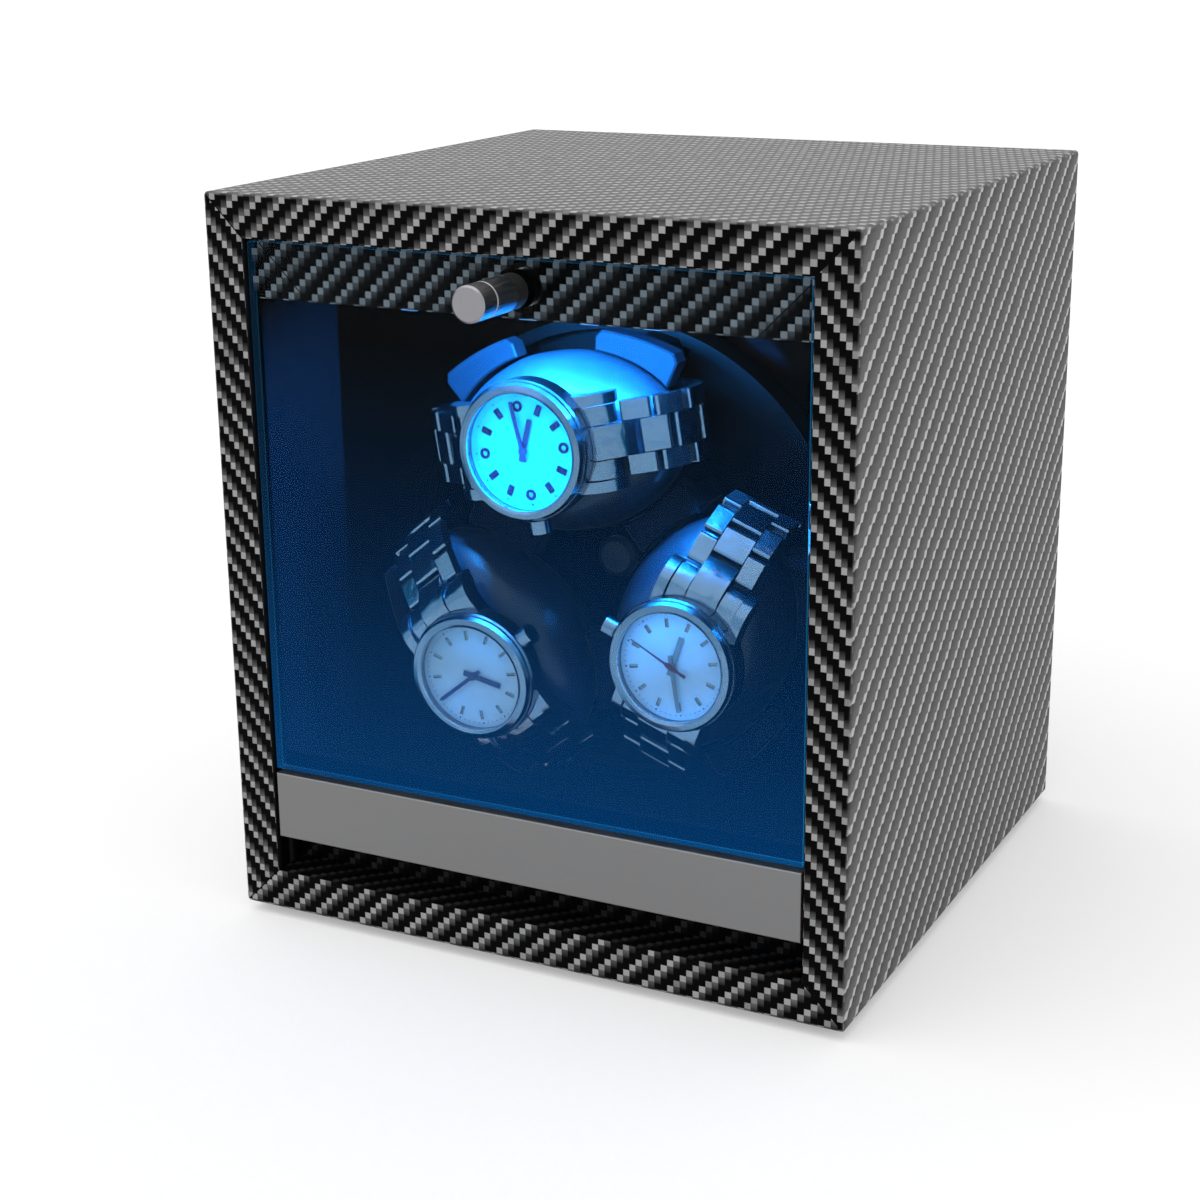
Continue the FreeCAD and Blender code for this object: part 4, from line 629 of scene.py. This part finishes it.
class WINDER_OT_cushions(bpy.types.Operator):
    """Stuffs the three cushions inside their covers and lays them in the claws"""

    bl_idname = "winder.cushions"
    bl_label = "Cushions"

    def execute(self, context):
        leather = grained(
            "black_leatherette", colours().leather, sizes().leather_grain, depth=0.05 * MM,
            Roughness=0.36, Specular_IOR_Level=0.15, Coat_Weight=0.45, Coat_Roughness=0.24)
        for name in WATCHES:
            mesh = self.stuffed(context, name)
            mesh.materials.clear()
            made = piece(name + "_pillow", mesh, "carousel", leather)
            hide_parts(name + "_cushion")
            made.modifiers.new("smooth_cover", "SUBSURF").levels = 1
        return {"FINISHED"}

    def stuffed(self, context, name):
        """Swells the cushion's skin under pressure, held in by the watch and by the claws."""
        # The cloth runs at this many times its size, and starts a little inside the cushion.
        grow = 10
        shrink = 0.985
        voxel = 2.2 * MM
        last_frame = 20
        middle = sum(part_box(name + "_cushion"), Vector()) / 2
        skin = frame["nodes"][name + "_cushion"].data.copy()
        skin.transform(Matrix.Scale(grow * shrink, 4) @ Matrix.Translation(-middle))
        made = bpy.data.objects.new(name + "_skin", skin)
        context.scene.collection.objects.link(made)
        remesh = made.modifiers.new("voxels", "REMESH")
        remesh.mode = "VOXEL"
        remesh.voxel_size = voxel * grow
        flat = bpy.data.meshes.new_from_object(made.evaluated_get(context.evaluated_depsgraph_get()))
        made.modifiers.remove(remesh)
        made.data = flat
        cloth = made.modifiers.new("stuffing", "CLOTH")
        cloth.settings.use_pressure = True
        cloth.settings.uniform_pressure_force = 4
        cloth.settings.tension_stiffness = 1
        cloth.settings.compression_stiffness = 1
        cloth.settings.effector_weights.gravity = 0
        cloth.point_cache.frame_start = 1
        cloth.point_cache.frame_end = last_frame
        for number in range(1, last_frame + 1):
            context.scene.frame_set(number)
        swollen = bpy.data.meshes.new_from_object(made.evaluated_get(context.evaluated_depsgraph_get()))
        context.scene.frame_set(1)
        watch = watch_place(name)
        claw_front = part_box("turntable")[0].y
        for before, after in zip(flat.vertices, swollen.vertices):
            move = (after.co - before.co) / grow
            limit = self.slack(watch, claw_front, before.co / grow + middle)
            if move.length > limit:
                move = move.normalized() * limit
            after.co = before.co / grow + middle + move
        swollen.shade_smooth()
        bpy.data.objects.remove(made)
        return swollen

    def slack(self, watch, claw_front, place):
        """How far a point of the cover may move: least under the watch and between the claws."""
        strap_half = 11 * MM
        case_radius = 21 * MM
        claw_gap = 1 * MM
        release = 4 * MM
        offset = place - watch["middle"]
        beside_strap = abs(offset.dot(watch["three"])) - strap_half
        offset.y = 0
        beside_case = offset.length - case_radius
        before_claws = claw_front - claw_gap - place.y
        free = min(beside_strap, beside_case, before_claws) / release
        free = max(0, min(1, free))
        return sizes().strap_hold + (sizes().cushion_swell - sizes().strap_hold) * free


class WINDER_OT_watches(bpy.types.Operator):
    """Finishes the watches and sets hour marks, minute dots and a second hand on their dials"""

    bl_idname = "winder.watches"
    bl_label = "Watches"

    def execute(self, context):
        steel = grained(
            "polished_stainless_steel", colours().steel, grain=9 * MM, depth=0.25 * MM,
            Metallic=1, Roughness=0.14)
        links = grained(
            "polished_steel_links", colours().steel, grain=7 * MM, depth=0.7 * MM,
            Metallic=1, Roughness=0.14)
        crystal = clear_glass("mineral_crystal")
        blued = grained(
            "blued_steel", colours().navy, grain=0.5 * MM, depth=0.004 * MM,
            Metallic=0.6, Roughness=0.3)
        bare = grained(
            "applied_steel", linear("#b4afa4"), grain=0.5 * MM, depth=0.004 * MM,
            Metallic=1, Roughness=0.22)
        red = grained(
            "red_lacquer", linear("#6a1430"), grain=0.5 * MM, depth=0.004 * MM, Roughness=0.3)
        # Plate colour, hand colour, finish of the marks, width and length of a baton.
        looks = {
            # The top dial's cyan is partly painted light: it stands in for the blue diode light on it.
            "top": (colours().ice_lamp_tint, colours().navy, blued, 1.7 * MM, 3.0 * MM),
            "left": (colours().dial, linear("#16336a"), bare, 0.9 * MM, 2.6 * MM),
            "right": (colours().dial, linear("#8f8d86"), bare, 1.0 * MM, 2.4 * MM),
        }
        second_hand_turn = 97
        for name in WATCHES:
            watch = watch_place(name)
            plate, hands, marks, wide, tall = looks[name]
            dress(steel, name + "_watch_case")
            dress(links, name + "_bracelet")
            dress(crystal, name + "_watch_crystal")
            frame["nodes"][name + "_watch_crystal"].visible_shadow = False
            dress(dial_lacquer(name + "_dial_lacquer", watch, plate, hands), name + "_watch_dial")
            shape = bmesh.new()
            for hour in range(12):
                if name == "top" and hour % 3 == 0:
                    self.ring(shape, watch, hour * HOUR_TURN)
                else:
                    self.baton(shape, watch, hour * HOUR_TURN, wide, tall)
            for minute in range(60):
                self.dot(shape, watch, minute * MINUTE_TURN)
            self.finished(shape, name + "_dial_marks", "watch_steel", marks)
        shape = bmesh.new()
        self.needle(shape, watch_place("right"), second_hand_turn)
        self.finished(shape, "right_second_hand", "watch_steel", red)
        return {"FINISHED"}

    def spot(self, watch, clock, out, aside, height):
        """A point over the dial: out along a clock direction, aside of it, and above the plate."""
        angle = math.radians(clock)
        along = watch["twelve"] * math.cos(angle) + watch["three"] * math.sin(angle)
        across = watch["three"] * math.cos(angle) - watch["twelve"] * math.sin(angle)
        return watch["middle"] + along * out + across * aside + watch["face"] * height

    def row(self, shape, watch, clock, places, height):
        """Corners at places over the dial, all at one height."""
        return [shape.verts.new(self.spot(watch, clock, out, aside, height)) for out, aside in places]

    def circle(self, shape, watch, clock, out, radius, height, count):
        """Corners of a small circle that lies over the dial."""
        turns = [i * math.tau / count for i in range(count)]
        places = [(out + radius * math.cos(turn), radius * math.sin(turn)) for turn in turns]
        return self.row(shape, watch, clock, places, height)

    def band(self, shape, first, second):
        """Faces between two rows of corners."""
        for i in range(len(first)):
            after = (i + 1) % len(first)
            shape.faces.new((first[i], first[after], second[after], second[i]))

    def baton(self, shape, watch, clock, wide, tall):
        """A faceted bar with a ridge along its middle."""
        edge_height, ridge_height = 0.25 * MM, 0.5 * MM
        half = wide / 2
        far = watch["radius"] * HOUR_TRACK
        near = far - tall
        corners = ((near, -half), (near, half), (far, half), (far, -half))
        base = self.row(shape, watch, clock, corners, MARK_FOOT)
        edge = self.row(shape, watch, clock, corners, edge_height)
        ridge = self.row(shape, watch, clock, ((near + half, 0), (far - half, 0)), ridge_height)
        shape.faces.new(base)
        self.band(shape, edge, base)
        shape.faces.new((edge[0], ridge[0], edge[1]))
        shape.faces.new((edge[1], ridge[0], ridge[1], edge[2]))
        shape.faces.new((edge[2], ridge[1], edge[3]))
        shape.faces.new((edge[3], ridge[1], ridge[0], edge[0]))

    def dot(self, shape, watch, clock):
        """A small printed dome on the minute track."""
        corner_count = 8
        hour_dot, minute_dot = 0.3 * MM, 0.18 * MM
        crown_share, crown_height = 0.7, 0.12 * MM
        out = watch["radius"] * MINUTE_TRACK
        small = hour_dot if clock % HOUR_TURN == 0 else minute_dot
        foot = self.circle(shape, watch, clock, out, small, MARK_FOOT, corner_count)
        crown = self.circle(shape, watch, clock, out, small * crown_share, crown_height, corner_count)
        shape.faces.new(foot)
        shape.faces.new(crown)
        self.band(shape, foot, crown)

    def ring(self, shape, watch, clock):
        """A round applied marker with an open middle."""
        corner_count = 20
        wide, open_middle, top = 1.5 * MM, 0.7 * MM, 0.3 * MM
        out = watch["radius"] * HOUR_TRACK - wide
        rows = [
            self.circle(shape, watch, clock, out, radius, height, corner_count)
            for radius, height in (
                (wide, MARK_FOOT), (wide, top), (open_middle, top), (open_middle, MARK_FOOT))]
        for i in range(len(rows)):
            self.band(shape, rows[i], rows[(i + 1) % len(rows)])

    def needle(self, shape, watch, clock):
        """A tapered second hand with a counterweight behind its hub."""
        under, over = 1.75 * MM, 1.95 * MM
        tip = watch["radius"] * HAND_REACH
        right = (
            (-5 * MM, 0.5 * MM), (-2.5 * MM, 0.35 * MM), (-0.8 * MM, 0.8 * MM), (0.8 * MM, 0.8 * MM),
            (2 * MM, 0.3 * MM), (tip, 0.12 * MM))
        left = tuple((out, -aside) for out, aside in reversed(right))
        rows = [self.row(shape, watch, clock, right + left, height) for height in (under, over)]
        shape.faces.new(rows[0])
        shape.faces.new(rows[1])
        self.band(shape, rows[0], rows[1])

    def finished(self, shape, name, slot, material):
        """Turns the built faces outwards and makes them a piece on the carousel."""
        bmesh.ops.recalc_face_normals(shape, faces=shape.faces)
        mesh = bpy.data.meshes.new(name)
        shape.to_mesh(mesh)
        shape.free()
        piece(name, mesh, "carousel", material)


class WINDER_OT_light(bpy.types.Operator):
    """Lights the diode bar under the header rail, and the glow that the pane gives back"""

    bl_idname = "winder.light"
    bl_label = "Light bar"

    def execute(self, context):
        dress(lit_diode("blue_light_diode"), "light_emitters")
        self.chamber()
        bar_deep, bar_gap = 3 * MM, 0.4 * MM
        low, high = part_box("light_emitters")
        middle = (low + high) / 2
        self.lamp(
            "diode_light", colours().lamp, (high.x - low.x, bar_deep),
            (middle.x, middle.y, low.z - bar_gap), energy=10, tilt=12)
        glow_tall, glow_middle, glow_gap = 110 * MM, 65 * MM, 1 * MM
        low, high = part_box("door_glass")
        self.lamp(
            "pane_glow", colours().glow, (high.x - low.x, glow_tall),
            (0, high.y + glow_gap, low.z + glow_middle), energy=0.045, tilt=90)
        return {"FINISHED"}

    def chamber(self):
        """Collects what the diodes and the pane light: the carousel and the side linings."""
        made = bpy.data.collections.new("display_chamber")
        made.objects.link(frame["nodes"]["side_linings"])
        for item in bpy.context.scene.objects:
            if item.get("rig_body") == "carousel":
                made.objects.link(item)

    def lamp(self, name, colour, size, place, energy, tilt):
        """A soft lamp that lights only the display chamber."""
        data = bpy.data.lights.new(name, "AREA")
        data.shape = "RECTANGLE"
        data.size, data.size_y = size
        data.color = colour[:3]
        data.energy = energy
        made = bpy.data.objects.new(name, data)
        bpy.context.scene.collection.objects.link(made)
        made.location = place
        made.rotation_euler = (math.radians(tilt), 0, 0)
        made.light_linking.receiver_collection = bpy.data.collections["display_chamber"]
        made.visible_camera = False


class WINDER_OT_back(bpy.types.Operator):
    """Finishes the back cover, its corner blocks and the circuit inside it"""

    bl_idname = "winder.back"
    bl_label = "Back"

    def execute(self, context):
        dress(
            grained(
                "black_hardboard", linear("#17181a"), grain=0.7 * MM, depth=0.04 * MM, Roughness=0.6),
            "back_cover", "corner_blocks")
        dress(
            grained(
                "green_solder_mask", linear("#12452c"), grain=1.5 * MM, depth=0.01 * MM,
                Roughness=0.35),
            "control_board")
        dress(
            grained(
                "black_epoxy", linear("#141416"), grain=0.4 * MM, depth=0.02 * MM, Roughness=0.55),
            "board_components")
        return {"FINISHED"}


class WINDER_OT_stage(bpy.types.Operator):
    """Lays the white floor, hangs the lamps and places the camera"""

    bl_idname = "winder.stage"
    bl_label = "Stage"

    def execute(self, context):
        scene = context.scene
        scene.view_settings.view_transform = "Standard"
        self.floor(scene)
        self.room(scene)
        self.skylight(scene)
        self.camera(scene)
        return {"FINISHED"}

    def seen(self, tree):
        """Above 0 for rays that the eye follows: straight ones, mirrored ones and those through glass."""
        path = add(tree, "ShaderNodeLightPath")
        straight = calc(tree, "ADD", path.outputs["Is Camera Ray"], path.outputs["Is Glossy Ray"])
        return calc(tree, "ADD", straight, path.outputs["Is Transmission Ray"])

    def floor(self, scene):
        """White paper that looks as bright as the room where no shadow falls on it."""
        paper_scale = 3
        paper_glow = 0.32
        material, tree, shader = surface("white_paper_sweep", Roughness=0.9, Specular_IOR_Level=0)
        grain = add(tree, "ShaderNodeTexNoise", {"Scale": paper_scale, "Detail": 2})
        tone = blend(tree, grain.outputs["Fac"], linear("#dcdcdc"), linear("#dfdfdf"))
        tree.links.new(tone, shader.inputs["Base Color"])
        glow = calc(tree, "MULTIPLY", self.seen(tree), paper_glow, clamp=True)
        shader.inputs["Emission Color"].default_value = (1, 1, 1, 1)
        tree.links.new(glow.outputs[0], shader.inputs["Emission Strength"])
        mesh = bpy.data.meshes.new("floor")
        half = sizes().floor_size / 2
        mesh.from_pydata(
            [(-half, -half, 0), (half, -half, 0), (half, half, 0), (-half, half, 0)], [], [(0, 1, 2, 3)])
        mesh.materials.append(material)
        made = bpy.data.objects.new("floor", mesh)
        scene.collection.objects.link(made)

    def room(self, scene):
        """A white room that gives a little less light than the eye sees in it."""
        room_light, room_look = 0.75, 1
        world = bpy.data.worlds.new("white_room")
        world.use_nodes = True
        scene.world = world
        tree = world.node_tree
        tree.nodes.clear()
        level = ramp(tree, self.seen(tree), 0, 1, room_light, room_look)
        light = add(tree, "ShaderNodeBackground", {"Color": (1, 1, 1, 1), "Strength": level})
        add(tree, "ShaderNodeOutputWorld", {"Surface": light})

    def skylight(self, scene):
        """A wide soft light from above, a little from the front and the left."""
        tilt, roll = 22, -14
        lamp = bpy.data.lights.new("overhead_softbox", "SUN")
        lamp.energy = 1.0
        lamp.angle = math.radians(75)
        made = bpy.data.objects.new("overhead_softbox", lamp)
        scene.collection.objects.link(made)
        made.rotation_euler = (math.radians(tilt), math.radians(roll), 0)

    def camera(self, scene):
        """The photo's view: where the eye is, and which way is right and forward."""
        eye = Vector((0.27813, -0.57596, 0.28589))
        right = Vector((0.89114, 0.45360, -0.01091))
        forward = Vector((-0.43594, 0.84929, -0.29775))
        data = bpy.data.cameras.new("camera")
        data.sensor_width = 36
        data.lens = 66.86
        made = bpy.data.objects.new("camera", data)
        scene.collection.objects.link(made)
        turn = Matrix((right, right.cross(forward), -forward)).transposed().to_4x4()
        made.matrix_world = Matrix.Translation(eye) @ turn
        scene.camera = made


STEPS = (
    WINDER_OT_cabinet, WINDER_OT_door, WINDER_OT_carousel, WINDER_OT_cushions, WINDER_OT_watches,
    WINDER_OT_light, WINDER_OT_back, WINDER_OT_stage)


class WINDER_PT_steps(bpy.types.Panel):
    """Lists the steps that dress the winder box, and what can be changed"""

    bl_idname = "WINDER_PT_steps"
    bl_label = "Watch winder box"
    bl_space_type = "VIEW_3D"
    bl_region_type = "UI"
    bl_category = "Winder"

    def draw(self, context):
        column = self.layout.column()
        for group in (context.scene.winder_sizes, context.scene.winder_colours):
            for name in group.__annotations__:
                column.prop(group, name)
        for step in STEPS:
            column.operator(step.bl_idname)


CLASSES = (WinderSizes, WinderColours, *STEPS, WINDER_PT_steps)


def register():
    for item in CLASSES:
        bpy.utils.register_class(item)
    bpy.types.Scene.winder_sizes = PointerProperty(type=WinderSizes)
    bpy.types.Scene.winder_colours = PointerProperty(type=WinderColours)


def unregister():
    del bpy.types.Scene.winder_colours
    del bpy.types.Scene.winder_sizes
    for item in reversed(CLASSES):
        bpy.utils.unregister_class(item)


def main():
    register()
    for step in STEPS:
        group, name = step.bl_idname.split(".")
        getattr(getattr(bpy.ops, group), name)()


if __name__ == "__main__":
    main()
